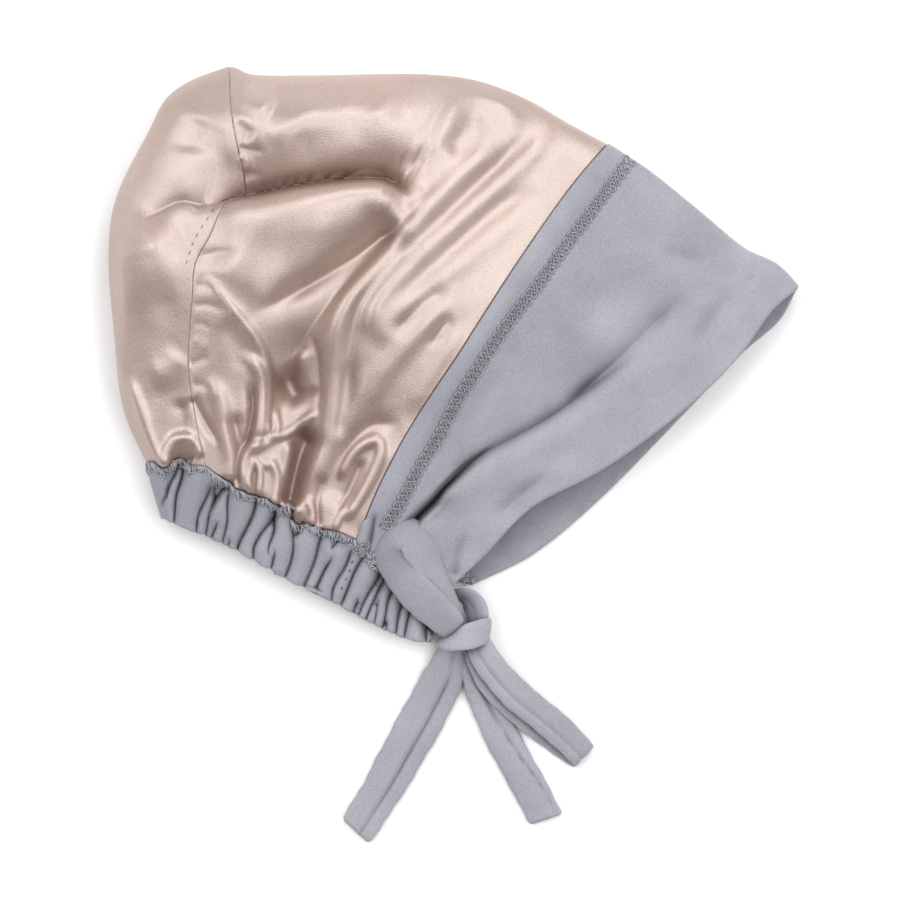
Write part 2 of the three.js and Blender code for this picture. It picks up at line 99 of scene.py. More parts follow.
# Folds of the near side. name, line, left, right (reach on each side of the line, seen along
# it), rise, kind (r round, c creased, s a softened crease, w a
# narrow well with steep walls), lean (towards the right), ease in, ease out
FOLDS = [
    # the main crease across the crown and the lip that hangs over it
    ("main_crease", [(188, 209), (216, 206), (250, 201), (320, 188), (383, 184), (416, 199)], 34, 6, -17.5, "c", 0, .34, .14),
    ("lip", [(212, 216), (262, 207), (320, 197), (383, 192), (409, 203)], 6, 30, 2.6, "r", -5, .18, .15),
    ("lip_end", [(411, 194), (416, 203), (404, 219), (369, 247), (335, 274), (300, 302)], 9, 10, 1.1, "r", 0, .25, .5),
    ("bag_valley", [(404, 220), (351, 262), (302, 291), (272, 306), (240, 322)], 16, 22, -10.4, "s", 0, .16, .4),
    ("bag_top", [(240, 236), (290, 228), (352, 222)], 18, 18, 1.2, "r", 0, .3, .3),
    # upper roll
    ("upper_a", [(272, 150), (298, 127), (322, 98)], 13, 15, 1.1, "r", 0, .3, .3),
    ("upper_b", [(282, 156), (330, 140), (378, 118)], 20, 20, -1.6, "r", 0, .3, .3),
    ("upper_c", [(372, 128), (390, 104), (402, 82)], 10, 12, 1.1, "r", 0, .3, .3),
    ("upper_d", [(262, 100), (320, 96), (372, 100)], 14, 16, -.8, "r", 0, .3, .3),
    ("pucker_bump", [(240, 98), (258, 107), (276, 117)], 16, 14, 3.0, "r", 0, .2, .35),
    ("pucker_1", [(236, 117), (250, 124), (261, 135), (255, 147), (243, 156)], 5.5, 5.5, 1.0, "r", 0, .15, .2),
    ("pucker_2", [(238, 128), (248, 136), (243, 146)], 5, 5, -.5, "r", 0, .2, .25),
    ("pucker_3", [(241, 150), (252, 152), (270, 156)], 3, 4, -1.1, "c", 0, .06, .5),
    ("pucker_4", [(243, 158), (248, 164), (247, 174)], 4, 5, .9, "r", 0, .15, .3),
    ("pucker_5", [(245, 180), (254, 176), (266, 178)], 4, 5, -.7, "r", 0, .08, .5),
    # hook and the hollow inside it
    ("hook", [(402, 165), (424, 148), (441, 137), (456, 110), (474, 97), (501, 102), (511, 120), (492, 148)],
     12, 12, 2.0, "r", 0, .42, .3),
    ("hook_hollow", [(444, 158), (466, 134), (488, 120)], 13, 13, -2.0, "r", 0, .3, .3),
    ("brown", [(408, 150), (420, 174), (428, 206)], 14, 12, -1.4, "r", 0, .35, .35),
    # diagonal folds of the front of the crown
    ("shadow_crease", [(424, 200), (403, 224), (381, 249), (340, 293), (310, 331), (293, 358), (290, 378)], 6, 12, -3.4, "s", 0, .1, .2),
    ("long_fold", [(509, 136), (459, 178), (427, 211), (376, 265), (341, 315), (330, 361), (330, 400), (326, 446),
                   (302, 502)], 10, 10, 2.5, "r", 0, .1, .1),
    ("long_crease", [(547, 119), (498, 167), (437, 227), (391, 272), (362, 308), (352, 351), (347, 412), (337, 443)],
     10, 9, -2.1, "r", 0, .15, .2),
    ("second_fold", [(561, 126), (512, 171), (453, 223), (407, 264), (379, 300), (366, 340)], 11, 11, 2.1, "r", 0, .15, .1),
    ("third_crease", [(540, 185), (498, 210), (437, 265), (391, 310)], 10, 10, -1.8, "r", 0, .2, .2),
    ("third_fold", [(544, 200), (498, 234), (442, 276), (397, 317), (374, 350)], 12, 12, 1.2, "r", 0, .2, .1),
    ("fourth_crease", [(452, 290), (432, 298), (404, 326), (394, 340)], 9, 9, -1.7, "r", 0, .25, .25),
    ("fourth_fold", [(480, 298), (443, 310), (412, 340), (377, 380), (351, 428), (337, 456)], 12, 14, 1.8, "r", 0, .3, .2),
    ("short_crease", [(454, 314), (441, 331), (434, 352)], 8, 8, -1.3, "r", 0, .3, .3),
    ("fifth_fold", [(466, 322), (446, 350), (420, 392), (402, 420)], 12, 14, 1.4, "r", 0, .3, .3),
    ("dark_crease", [(404, 423), (368, 427), (350, 446), (337, 481), (333, 508)], 7, 10, -2.8, "s", 0, .2, .15),
    ("loop_fold", [(338, 482), (349, 459), (364, 444), (378, 440), (381, 452), (366, 487), (344, 522)], 5, 5, 2.3, "r", 0, .1, .1),
    ("loop_dark", [(364, 457), (352, 484), (340, 514)], 5.5, 5.5, -2.2, "r", 0, .2, .2),
    ("seam_fold", [(404, 432), (380, 474), (352, 532)], 8, 8, .8, "r", 0, .3, .2),
    ("foot_line", [(352, 494), (343, 511), (334, 530)], 3.5, 3.5, 1.4, "r", 0, .3, .1),
    ("mid_valley", [(352, 356), (346, 400), (338, 440)], 8, 7, -1.0, "r", 0, .3, .2),
    # folds left of the shadow crease
    ("bright_band", [(214, 262), (240, 272), (268, 292), (288, 312)], 26, 16, 1.9, "r", 0, .3, .3),
    ("left_pucker", [(201, 258), (226, 255), (246, 259)], 5, 6, -0.84, "r", 0, .08, .4),
    ("left_pucker_b", [(199, 275), (214, 272), (236, 280)], 5, 6, 0.56, "r", 0, .08, .4),
    ("left_pucker_c", [(198, 287), (210, 288), (222, 294)], 3, 4, -0.56, "r", 0, .08, .4),
    ("left_pucker_d", [(196, 307), (210, 306), (232, 314)], 4, 4, -0.7, "r", 0, .08, .4),
    ("left_pucker_e", [(196, 324), (206, 325), (216, 332)], 3, 4, -0.49, "r", 0, .08, .4),
    ("left_pucker_f", [(192, 366), (202, 360), (214, 358)], 4, 5, -0.63, "r", 0, .08, .4),
    ("left_pucker_g", [(194, 384), (206, 386), (218, 396)], 4, 5, -0.63, "r", 0, .08, .4),
    ("left_pucker_h", [(196, 340), (206, 346), (214, 350)], 5, 6, 0.49, "r", 0, .08, .4),
    ("left_crest", [(206, 272), (226, 299), (247, 326), (261, 346), (270, 378), (268, 420), (270, 437)], 3.6, 15, 2.4, "c", -.6, .16, .05),
    ("left_slope", [(226, 318), (244, 346), (252, 372)], 16, 14, -1.6, "r", 0, .3, .3),
    ("crest_hook", [(266, 430), (271, 438), (278, 430), (273, 404)], 4, 4, 1.3, "r", 0, .2, .3),
    ("inner_fold", [(235, 357), (252, 360), (262, 378), (262, 408), (258, 440), (246, 466), (243, 490)], 5.5, 5.5, 2.0, "r", 0, .15, .1),
    ("inner_dark", [(249, 378), (254, 400), (250, 430), (242, 456)], 4.5, 5, -2.4, "r", 0, .25, .2),
    ("broad_fold", [(207, 376), (220, 398), (225, 430), (232, 458), (230, 484)], 9, 8, 2.4, "r", 0, .2, .08),
    ("seam_valley", [(194, 396), (202, 414), (221, 446)], 5, 5, -1.8, "r", 0, .1, .3),
    ("foot_valley", [(233, 410), (239, 446), (236, 486)], 6, 6, -2.6, "s", 0, .2, .1),
    ("pocket_dark", [(284, 362), (292, 386), (304, 408)], 14, 14, -5.2, "r", 0, .4, .35),
    ("pocket_crest", [(302, 350), (306, 372), (312, 396)], 8, 7, 2.6, "r", 0, .2, .25),
    ("pocket_edge", [(313, 333), (320, 360), (322, 392), (319, 412)], 4, 4, -1.6, "r", 0, .2, .2),
    ("cross_fold", [(268, 438), (289, 432), (304, 422), (319, 410)], 4, 4.5, 2.4, "r", 0, .2, .15),
    ("cavity", [(316, 424), (304, 446), (294, 478), (288, 508)], 12, 13, -8.6, "r", 0, .24, .1),
    ("foot_a", [(247, 490), (243, 465), (249, 450), (262, 444), (282, 442)], 4, 4.5, 2.0, "r", 0, .08, .3),
    ("foot_b", [(250, 494), (251, 470), (255, 461), (260, 468), (259, 496)], 3, 3, 1.5, "r", 0, .06, .06),
    ("foot_c", [(263, 468), (271, 463), (277, 474), (274, 502)], 4, 4, 1.5, "r", 0, .1, .06),
    ("foot_d", [(291, 440), (287, 466), (277, 506)], 5, 5.5, 2.6, "r", 0, .15, .06),
    ("foot_f", [(324, 472), (318, 500), (319, 528)], 5, 5, -1.9, "r", 0, .2, .06),
    ("foot_g", [(297, 518), (300, 506), (308, 502), (313, 512), (312, 526)], 3, 3, 1.3, "r", 0, .1, .1),
    # back panel
    ("back_crease", [(140, 228), (166, 211), (184, 204), (210, 209)], 12, 5, -2.6, "c", 0, .3, .1),
    ("back_band", [(108, 266), (140, 259), (168, 248), (190, 236)], 18, 46, 6.6, "r", 0, .02, .45),
    ("back_strip", [(176, 100), (150, 143), (128, 200)], 5, 4, -2.0, "c", 0, .2, .3),
    ("back_hollow", [(204, 118), (196, 140), (192, 160)], 18, 16, -1.8, "r", 0, .3, .3),
    ("back_upper", [(222, 96), (232, 140), (238, 176)], 12, 10, 1.0, "r", 0, .3, .3),
    ("back_lower", [(187, 352), (168, 372), (150, 380)], 12, 14, 1.2, "r", 0, .3, .3),
    ("back_edge", [(126, 372), (141, 409), (149, 438), (164, 468)], 6, 8, 2.2, "r", 0, .25, .06),
    ("back_edge_dark", [(124, 396), (133, 425), (146, 458)], 6, 5, -1.4, "r", 0, .2, .1),
    ("arch", [(166, 470), (168, 450), (180, 437), (194, 440), (202, 458)], 5, 5, 2.0, "r", 0, .06, .1),
    ("arch_dark", [(174, 466), (184, 456), (194, 462)], 6, 6, -2.8, "r", 0, .1, .1),
    ("back_long", [(168, 300), (160, 348), (158, 400)], 16, 16, .9, "r", 0, .3, .3),
    ("back_foot", [(182, 396), (184, 420), (180, 440)], 7, 8, -1.6, "r", 0, .3, .2),
    # front band
    ("slit", [(406, 530), (418, 517), (432, 503), (449, 487), (474, 465), (500, 447)], 7.0, 6.4, -10.8, "w", 0, .04, .65),
    ("band_ramp", [(440, 488), (478, 461), (507, 445), (550, 421), (590, 392), (640, 352)], 30, 6, -6.4, "c", 0, .15, .35),
    ("band_crease", [(560, 412), (588, 386), (620, 357), (655, 324), (690, 291)], 10, 13, -4.6, "s", 0, .25, .25),
    ("band_flap", [(436, 507), (474, 474), (520, 447), (560, 425), (610, 390), (655, 350)], 8, 22, 2.8, "r", -2.4, .08, .25),
    ("band_strip", [(612, 156), (560, 222), (490, 325), (440, 402), (396, 482), (374, 524)], 9, 9, 1.3, "r", 0, .05, .05),
    ("band_by_slit", [(428, 526), (440, 512), (458, 494)], 6, 6, -1.9, "r", 0, .3, .45),
    ("band_by_loop", [(452, 578), (458, 553), (468, 530)], 5, 6, -1.8, "r", 0, .1, .3),
    ("band_soft", [(492, 524), (528, 489), (562, 470)], 9, 12, -2.6, "r", 0, .25, .3),
    ("band_curve", [(724, 282), (724, 304), (708, 330), (688, 354)], 10, 12, -1.9, "r", 0, .3, .4),
    ("band_curve_in", [(706, 286), (700, 310), (680, 340)], 15, 12, 1.0, "r", 0, .35, .4),
    ("band_inner", [(690, 294), (675, 309), (654, 320), (640, 330)], 8, 9, -.6, "r", 0, .25, .3),
    ("band_upper", [(655, 257), (680, 258), (708, 266)], 9, 10, -1.3, "r", 0, .3, .3),
    ("band_small", [(690, 220), (709, 227)], 6, 6, -.9, "r", 0, .3, .3),
    ("band_dent", [(752, 262), (755, 276), (745, 285)], 4, 5, -1.0, "r", 0, .2, .3),
    ("stitch_bed", [(629, 160), (596, 205), (562, 250), (538, 284), (510, 319), (486, 353), (471, 377), (455, 402),
                    (439, 434), (419, 467), (400, 503), (384, 530)], 5.5, 5.5, -.7, "r", 0, .02, .02),
    ("band_pleat_a", [(366, 519), (365, 530), (361, 545)], 4, 3, 1.6, "r", 0, .2, .05),
    ("band_pleat_b", [(376, 512), (373, 526), (370, 545)], 3, 4, -1.8, "r", 0, .2, .05),
    ("band_mid", [(548, 300), (590, 330), (630, 372)], 24, 24, 1.2, "r", 0, .3, .3),
    ("band_shade", [(560, 316), (606, 300), (648, 262)], 20, 22, -1.6, "r", 0, .3, .3),
    ("band_long", [(520, 330), (500, 376), (452, 446)], 12, 14, -1.2, "r", 0, .25, .25),
    ("band_low", [(500, 474), (540, 480), (590, 466)], 14, 12, 1.4, "r", 0, .3, .3),
]

# Grooves between the gathers of the nape casing: line from its upper to its lower edge, depth, reach
GROOVES = [
    ([(178, 458), (176, 469), (168, 488), (162, 507), (161, 522)], 3.0, 3.2),
    ([(186, 455), (183, 476), (177, 495), (175, 512), (174, 529)], 3.2, 2.8),
    ([(212, 480), (206, 496), (198, 515), (195, 538)], 1.6, 1.8),
    ([(219, 478), (214, 491), (213, 502), (209, 516), (204, 540)], 2.6, 2.6),
    ([(237, 484), (224, 488), (216, 501), (211, 512)], 2.6, 2.4),
    ([(219, 518), (210, 542)], 1.8, 2.2),
    ([(231, 486), (228, 503), (227, 523), (220, 550)], 2.6, 3.8),
    ([(231, 536), (227, 550)], 1.4, 1.8),
    ([(258, 490), (254, 511), (246, 529), (239, 543), (235, 560)], 3.6, 3.4),
    ([(240, 545), (237, 556)], 1.0, 1.6),
    ([(279, 503), (269, 522), (260, 535), (254, 548), (254, 566)], 2.8, 2.6),
    ([(280, 500), (275, 517), (274, 531), (269, 546), (266, 560)], 3.0, 3.0),
    ([(276, 547), (270, 572)], 2.4, 2.2),
    ([(291, 506), (291, 525), (293, 545), (291, 560), (282, 584)], 3.2, 5.0),
    ([(305, 520), (300, 530), (294, 540)], 2.2, 3.0),
    ([(324, 526), (319, 544), (315, 559), (309, 574), (301, 592)], 3.2, 3.6),
    ([(341, 536), (329, 552)], 1.4, 2.6),
    ([(336, 553), (327, 566), (321, 578), (315, 592)], 2.8, 3.0),
    ([(353, 545), (345, 566), (337, 580), (332, 592), (331, 608)], 2.6, 2.2),
    ([(372, 543), (362, 559), (355, 571), (348, 588), (338, 612)], 3.0, 2.3),
    ([(359, 594), (350, 617)], 2.0, 2.2),
    ([(386, 560), (376, 580), (366, 596), (355, 624)], 3.0, 2.3),
    ([(391, 569), (380, 588), (372, 604), (363, 628)], 3.0, 2.3),
    ([(380, 592), (377, 609), (372, 632)], 1.5, 1.8),
    ([(400, 578), (388, 601), (385, 616), (378, 638)], 3.0, 2.3),
    ([(388, 616), (386, 638)], 1.2, 1.7),
    ([(409, 590), (399, 612), (394, 644)], 3.0, 2.5),
    ([(417, 598), (408, 621), (403, 648)], 3.0, 2.3),
    ([(430, 608), (425, 630), (427, 652)], 2.6, 2.3),
    ([(437, 612), (431, 626), (436, 644)], 2.6, 2.4),
]
GROOVE_PULL = [d * .75 for _, d, _ in GROOVES]
LATE_START, EARLY_END = (5, 7, 9, 12, 17, 20, 23, 25), (4, 11, 14, 16)
GROOVES = ([("groove_%02d" % i, line, 1.7 * r, 1.7 * r, -d * 1.25, "c", 0, .5 if i in LATE_START else .16,
             .5 if i in EARLY_END else .04) for i, (line, d, r) in enumerate(GROOVES)]
           + [("line_%02d" % i, line, 2.0 + .25 * (i % 3), 1.9, -d * 2.0, "w", 0, .6 if i in LATE_START else .3,
               .5 if i in EARLY_END else .06) for i, (line, d, r) in enumerate(GROOVES)])

# Creases pressed into the side that lies on the surface: line, reach, rise
FAR_FOLDS = [
    ([(230, 130), (300, 180), (380, 210)], 16, 1.8), ([(200, 250), (270, 300), (330, 400)], 14, 1.6),
    ([(540, 130), (440, 240), (360, 400)], 12, 2.0), ([(420, 240), (330, 330), (300, 480)], 13, 1.8),
    ([(560, 220), (470, 320), (410, 400)], 12, 1.4), ([(680, 240), (620, 340), (500, 470)], 16, 1.2),
    ([(150, 240), (160, 330), (180, 430)], 14, 1.6), ([(260, 420), (270, 460), (262, 505)], 8, 1.8),
    ([(320, 430), (314, 480), (318, 530)], 8, 1.8), ([(225, 410), (232, 450), (226, 480)], 8, 1.6),
    ([(500, 539), (512, 545), (533, 555)], 5, 2.2),
]
FAR_FOLDS = [("far_%02d" % i, line, r, r, h, "r", 0, .3, .3) for i, (line, r, h) in enumerate(FAR_FOLDS)]


# ------------------------------------------------------------------------- plan curves
def catmull(rows, per=24):
    """Centripetal Catmull-Rom through the rows, densely sampled."""
    p = np.asarray(rows, float)
    p = np.vstack([2 * p[0] - p[1], p, 2 * p[-1] - p[-2]])
    out = []
    for i in range(1, len(p) - 2):
        p0, p1, p2, p3 = p[i - 1], p[i], p[i + 1], p[i + 2]
        d0, d1, d2 = (max(1e-6, np.linalg.norm(b - a)) ** .5 for a, b in ((p0, p1), (p1, p2), (p2, p3)))
        t1 = ((p1 - p0) / d0 - (p2 - p0) / (d0 + d1) + (p2 - p1) / d1) * d1
        t2 = ((p2 - p1) / d1 - (p3 - p1) / (d1 + d2) + (p3 - p2) / d2) * d1
        t = np.linspace(0, 1, per, endpoint=False)[:, None]
        out.append((2 * t ** 3 - 3 * t ** 2 + 1) * p1 + (t ** 3 - 2 * t ** 2 + t) * t1
                   + (-2 * t ** 3 + 3 * t ** 2) * p2 + (t ** 3 - t ** 2) * t2)
    out.append(p[-2][None])
    return np.vstack(out)


def spaced(points, count):
    """The polyline read at even steps of its length."""
    d = np.r_[0, np.cumsum(np.linalg.norm(np.diff(points, axis=0), axis=1))]
    t = np.linspace(0, d[-1], count + 1)
    return np.stack([np.interp(t, d, points[:, k]) for k in range(points.shape[1])], 1)


class Line:
    def __init__(self, rows, count=600):
        self.points = spaced(catmull(rows, 60), count)

    def __call__(self, t):
        f = np.clip(t, 0, 1) * (len(self.points) - 1)
        i = np.minimum(np.floor(f).astype(int), len(self.points) - 2)
        k = (f - i)[..., None]
        return self.points[i] * (1 - k) + self.points[i + 1] * k


def mix(a, b, t):
    return a + (b - a) * t


def smooth01(t):
    c = np.clip(t, 0, 1)
    return c * c * (3 - 2 * c)


def patch(left, right, foot, top):
    a, b, c, d = (np.asarray(f(np.array(float(t)))) for f, t in ((left, 0), (right, 0), (left, 1), (right, 1)))

    def at(s, v):
        s1, v1 = s[..., None], v[..., None]
        return (mix(left(s), right(s), v1) + mix(foot(v), top(v), s1)
                - mix(mix(a, b, v1), mix(c, d, v1), s1))

    return at


def nearest(points, x, y):
    """Distance to the polyline, place along it (in segments), side and the unit normal to its right."""
    best = np.full(x.shape, 1e18)
    at, side = np.zeros(x.shape), np.zeros(x.shape)
    nx, ny = np.zeros(x.shape), np.zeros(x.shape)
    for i in range(len(points) - 1):
        ax, ay = points[i]
        dx, dy = points[i + 1] - points[i]
        ll = dx * dx + dy * dy
        if ll < 1e-12:
            continue
        t = np.clip(((x - ax) * dx + (y - ay) * dy) / ll, 0, 1)
        ex, ey = x - ax - t * dx, y - ay - t * dy
        d2 = ex * ex + ey * ey
        m = d2 < best
        best[m] = d2[m]
        at[m] = (i + t)[m]
        side[m] = (dx * ey - dy * ex)[m]
        nx[m], ny[m] = -dy / ll ** .5, dx / ll ** .5
    return np.sqrt(best), at, side, nx, ny


FOLD_LINES = [Line(r) for r in (FOLD_CASING, FOLD_BACK, FOLD_TOP, FOLD_BAND)]
FOLD_POINTS = np.vstack([f(np.arange(n) / n) for f, n in zip(FOLD_LINES, (24, 160, 160, 100))]
                        + [FOLD_LINES[3](np.array([1.0]))])
FOLD_LENGTH = np.r_[0, np.cumsum(np.linalg.norm(np.diff(FOLD_POINTS, axis=0), axis=1))]


def at_fold(x, y):
    d, at, _, _, _ = nearest(FOLD_POINTS, x, y)
    along = np.interp(at, np.arange(len(FOLD_LENGTH)), FOLD_LENGTH) / FOLD_LENGTH[-1]
    table = np.array(FOLD_ROLL)
    i = np.clip(np.searchsorted(table[:, 0], along), 1, len(table) - 1)
    t = smooth01((along - table[i - 1, 0]) / (table[i, 0] - table[i - 1, 0]))
    rise, near, far = (mix(table[i - 1, k], table[i, k], t) for k in (1, 2, 3))
    return d, rise, near, far


def roll(t):
    return np.where(t >= 1, 1, np.sqrt(np.clip(1 - (1 - t) ** 2, 0, 1)))


def fold_field(x, y, table):
    """Sum of the folds at (x, y): sideways shift in grid steps and rise in millimetres."""
    sx, sy, sz = np.zeros(x.shape), np.zeros(x.shape), np.zeros(x.shape)
    for _, line, left, right, rise, kind, lean, ease_in, ease_out in table:
        pts = spaced(catmull(line, 12), 26)
        reach = (3.4 if kind == "r" else 5.0) * max(left, right) + (6 if kind == "s" else 0)
        lo, hi = pts.min(0) - reach, pts.max(0) + reach
        m = (x > lo[0]) & (x < hi[0]) & (y > lo[1]) & (y < hi[1])
        if not m.any():
            continue
        d, at, side, nx, ny = nearest(pts, x[m], y[m])
        s = at / 26
        width = np.where(side > 0, right, left)
        taper = smooth01(s / max(ease_in, 1e-3)) * smooth01((1 - s) / max(ease_out, 1e-3))
        if kind == "r":
            g = np.exp(-(d / width) ** 2)
        elif kind == "w":
            g = np.exp(-(d / width) ** 6)
        else:
            soft = 1.2 if kind == "c" else 16.0
            g = np.exp(-(np.sqrt(d * d + soft) - soft ** .5) / width) * (1 - smooth01((d / width - 2) / 3))
        sz[m] += rise * taper * g
        if lean:
            k = lean * taper * np.exp(-(d / (0.5 * (left + right))) ** 2)
            sx[m] += k * nx
            sy[m] += k * ny
    return sx, sy, sz


def wave_noise(x, y, scale, seed, octaves=3):
    """Smooth seeded noise in -1..1 made of a few crossed waves."""
    r = np.random.default_rng(seed)
    total = np.zeros(np.shape(x))
    for o in range(octaves):
        for _ in range(5):
            a, ph = r.uniform(0, 2 * np.pi), r.uniform(0, 2 * np.pi)
            k = 2 * np.pi / (scale / 1.9 ** o) * r.uniform(.7, 1.3)
            total += np.sin((x * np.cos(a) + y * np.sin(a)) * k + ph) / 1.7 ** o
    return total / 7


def near_surface(x, y):
    d, rise, near, _ = at_fold(x, y)
    h = np.full(x.shape, NEAR_HEIGHT)
    for px, py, rx, ry, up in PUFFS:
        h += up * np.exp(-((x - px) / rx) ** 2 - ((y - py) / ry) ** 2)
    sx, sy, sz = fold_field(x, y, FOLDS)
    gx, gy, gz = fold_field(x, y, GROOVES)
    fade = smooth01(d / 16)
    h += (sz + gz) * fade
    h += .22 * wave_noise(x, y, 70, 4) * fade
    z = mix(rise, h, roll(d / near))
    return x + (sx + gx) * fade, y + (sy + gy) * fade, z


def far_surface(x, y, rest):
    d, rise, _, far = at_fold(x, y)
    _, _, sz = fold_field(x, y, FAR_FOLDS)
    return x, y, mix(rise, rest + np.clip(sz, 0, 4) * smooth01((d - far * .6) / 20), roll(d / far))


# ------------------------------------------------------------------------------ panels
BEND = 0.55


def towards_fold(w):
    t = np.where(w > 1, 2 - w, w)
    c = 1 / (1 - BEND * BEND)
    return np.where(t < BEND, 2 * c * (1 - BEND) * t, 1 - c * (1 - t) ** 2)


seam_back, seam_back_far, seam_front = Line(SEAM_BACK), Line(SEAM_BACK_FAR), Line(SEAM_FRONT)
hem_near, hem_far, far_foot = Line(HEM_NEAR), Line(HEM_FAR), Line(FAR_FOOT)
casing_top, casing_foot, casing_base = Line(CASING_TOP), Line(CASING_FOOT), Line(CASING_BASE)
fold_casing, fold_back, fold_top, fold_band = FOLD_LINES


def place_on(line, target):
    t = np.linspace(0, 1, 4001)
    return t[np.argmin(np.linalg.norm(line(t) - np.asarray(target, float), axis=1))]


AT_BACK, AT_FRONT = place_on(casing_top, SEAM_BACK[0]), place_on(casing_top, SEAM_FRONT[0])
PEAK = np.array(FOLD_BACK[-1], float)


BASE_BACK, BASE_FRONT = place_on(casing_base, SEAM_BACK[0]), place_on(casing_base, SEAM_FRONT[0])


def front_foot(v):
    return casing_base(mix(BASE_BACK, BASE_FRONT, v))


def back_foot(s):
    return casing_base(mix(BASE_BACK, 0, s))


def to_gathers(plan, across, along, on_edge, on_base):
    """The plan with its foot drawn to the wavering gathered seam; the waver dies out above it."""
    return plan + (on_edge(across) - on_base(across)) * ((1 - along) ** 9)[..., None]


front_edge = lambda v: casing_top(mix(AT_BACK, AT_FRONT, v))
back_edge = lambda s: casing_top(mix(AT_BACK, 0, s))
front_near_c, front_far_c = patch(seam_back, seam_front, front_foot, fold_top), patch(seam_back_far, seam_front, front_foot, fold_top)
front_near = lambda s, v: to_gathers(front_near_c(s, v), v, s, front_edge, front_foot)
front_far = lambda s, v: to_gathers(front_far_c(s, v), v, s, front_edge, front_foot)


def peak(s):
    return np.broadcast_to(PEAK, np.shape(s) + (2,))


back_near_c, back_far_c = patch(seam_back, fold_back, back_foot, peak), patch(seam_back_far, fold_back, back_foot, peak)
back_near = lambda s, v: to_gathers(back_near_c(mix(0.0, .998, v), s), s, v, back_edge, back_foot)
back_far = lambda s, v: to_gathers(back_far_c(mix(0.0, .998, v), s), s, v, back_edge, back_foot)
band_near = patch(seam_front, hem_near, lambda v: casing_top(mix(AT_FRONT, 1, v)), fold_band)
band_far = patch(seam_front, hem_far, far_foot, fold_band)


def casing_edge(t):
    """The lower edge of the casing, drawn in where a groove between two gathers meets it."""
    p = casing_foot(t)
    ends = np.array([line[-1] for name, line, *_ in GROOVES if name.startswith("groove")], float)
    pull = np.zeros(p.shape[:-1])
    for (x, y), deep in zip(ends, GROOVE_PULL):
        near = np.hypot(p[..., 0] - x, (p[..., 1] - y) * .6)
        pull += deep * np.exp(-(near / 4.2) ** 2)
    swell = .9 * np.sin(t * 96) * smooth01(t * 12) * smooth01((1 - t) * 12)
    inward = np.array([.42, -.9])
    return p + (np.clip(pull, 0, 3.2) - .8 + swell * .5)[..., None] * inward * smooth01(t * 20)[..., None] \
        * smooth01((1 - t) * 20)[..., None]


casing_plan = lambda s, v: mix(casing_edge(1 - s), casing_top(1 - s), v[..., None])


def lift(plan_near, plan_far, w, v, rest, extra=None):
    """Points in millimetres of a panel at the grid w x v."""
    W, V = np.meshgrid(w, v, indexing="ij")
    S, near = towards_fold(W), W <= 1
    out = np.zeros(W.shape + (3,))
    for mask, plan in ((near, plan_near), (~near, plan_far)):
        if not mask.any():
            continue
        p = plan(S[mask], V[mask])
        if mask is near:
            x, y, z = near_surface(p[:, 0], p[:, 1])
        else:
            x, y, z = far_surface(p[:, 0], p[:, 1], rest)
        out[mask] = np.stack([(x - GRID_X) * GRID, (GRID_Y - y) * GRID, z], 1)
    if extra is not None:
        out = extra(out, W, V, S, near)
    return out


def normals(p):
    dw, dv = np.gradient(p, axis=0), np.gradient(p, axis=1)
    n = np.cross(dv, dw)
    return n / np.maximum(np.linalg.norm(n, axis=2, keepdims=True), 1e-9)


def arc(p, axis):
    """Running length along an axis of a grid of points."""
    d = np.linalg.norm(np.diff(p, axis=axis), axis=2)
    z = np.zeros((1, p.shape[1])) if axis == 0 else np.zeros((p.shape[0], 1))
    return np.concatenate([z, np.cumsum(d, axis=axis)], axis=axis)


def eased(a, axis, reach=15):
    """The grid evened out along an axis, so that the cloth's grain doesn't shear at a deep fold."""
    for _ in range(2):
        pad = [(0, 0), (0, 0)]
        pad[axis] = (reach, reach)
        b = np.pad(a, pad, mode="edge")
        c = np.cumsum(np.insert(b, 0, 0, axis=axis), axis=axis)
        n = a.shape[axis]
        width = 2 * reach + 1
        a = (np.take(c, np.arange(width, width + n), axis=axis) - np.take(c, np.arange(n), axis=axis)) / width
    return a


def new_mesh(name, verts, faces, material, uv=None):
    me = bpy.data.meshes.new(name)
    me.from_pydata((np.asarray(verts) / 1000.0).tolist(), [], faces if isinstance(faces, list) else faces.tolist())
    me.validate()
    me.polygons.foreach_set("use_smooth", [True] * len(me.polygons))
    if uv is not None:
        layer = me.uv_layers.new(name="cloth")
        idx = np.empty(len(me.loops), int)
        me.loops.foreach_get("vertex_index", idx)
        layer.data.foreach_set("uv", np.asarray(uv)[idx].ravel())
    me.materials.append(material)
    ob = bpy.data.objects.new(name, me)
    SCENE.collection.objects.link(ob)
    return ob


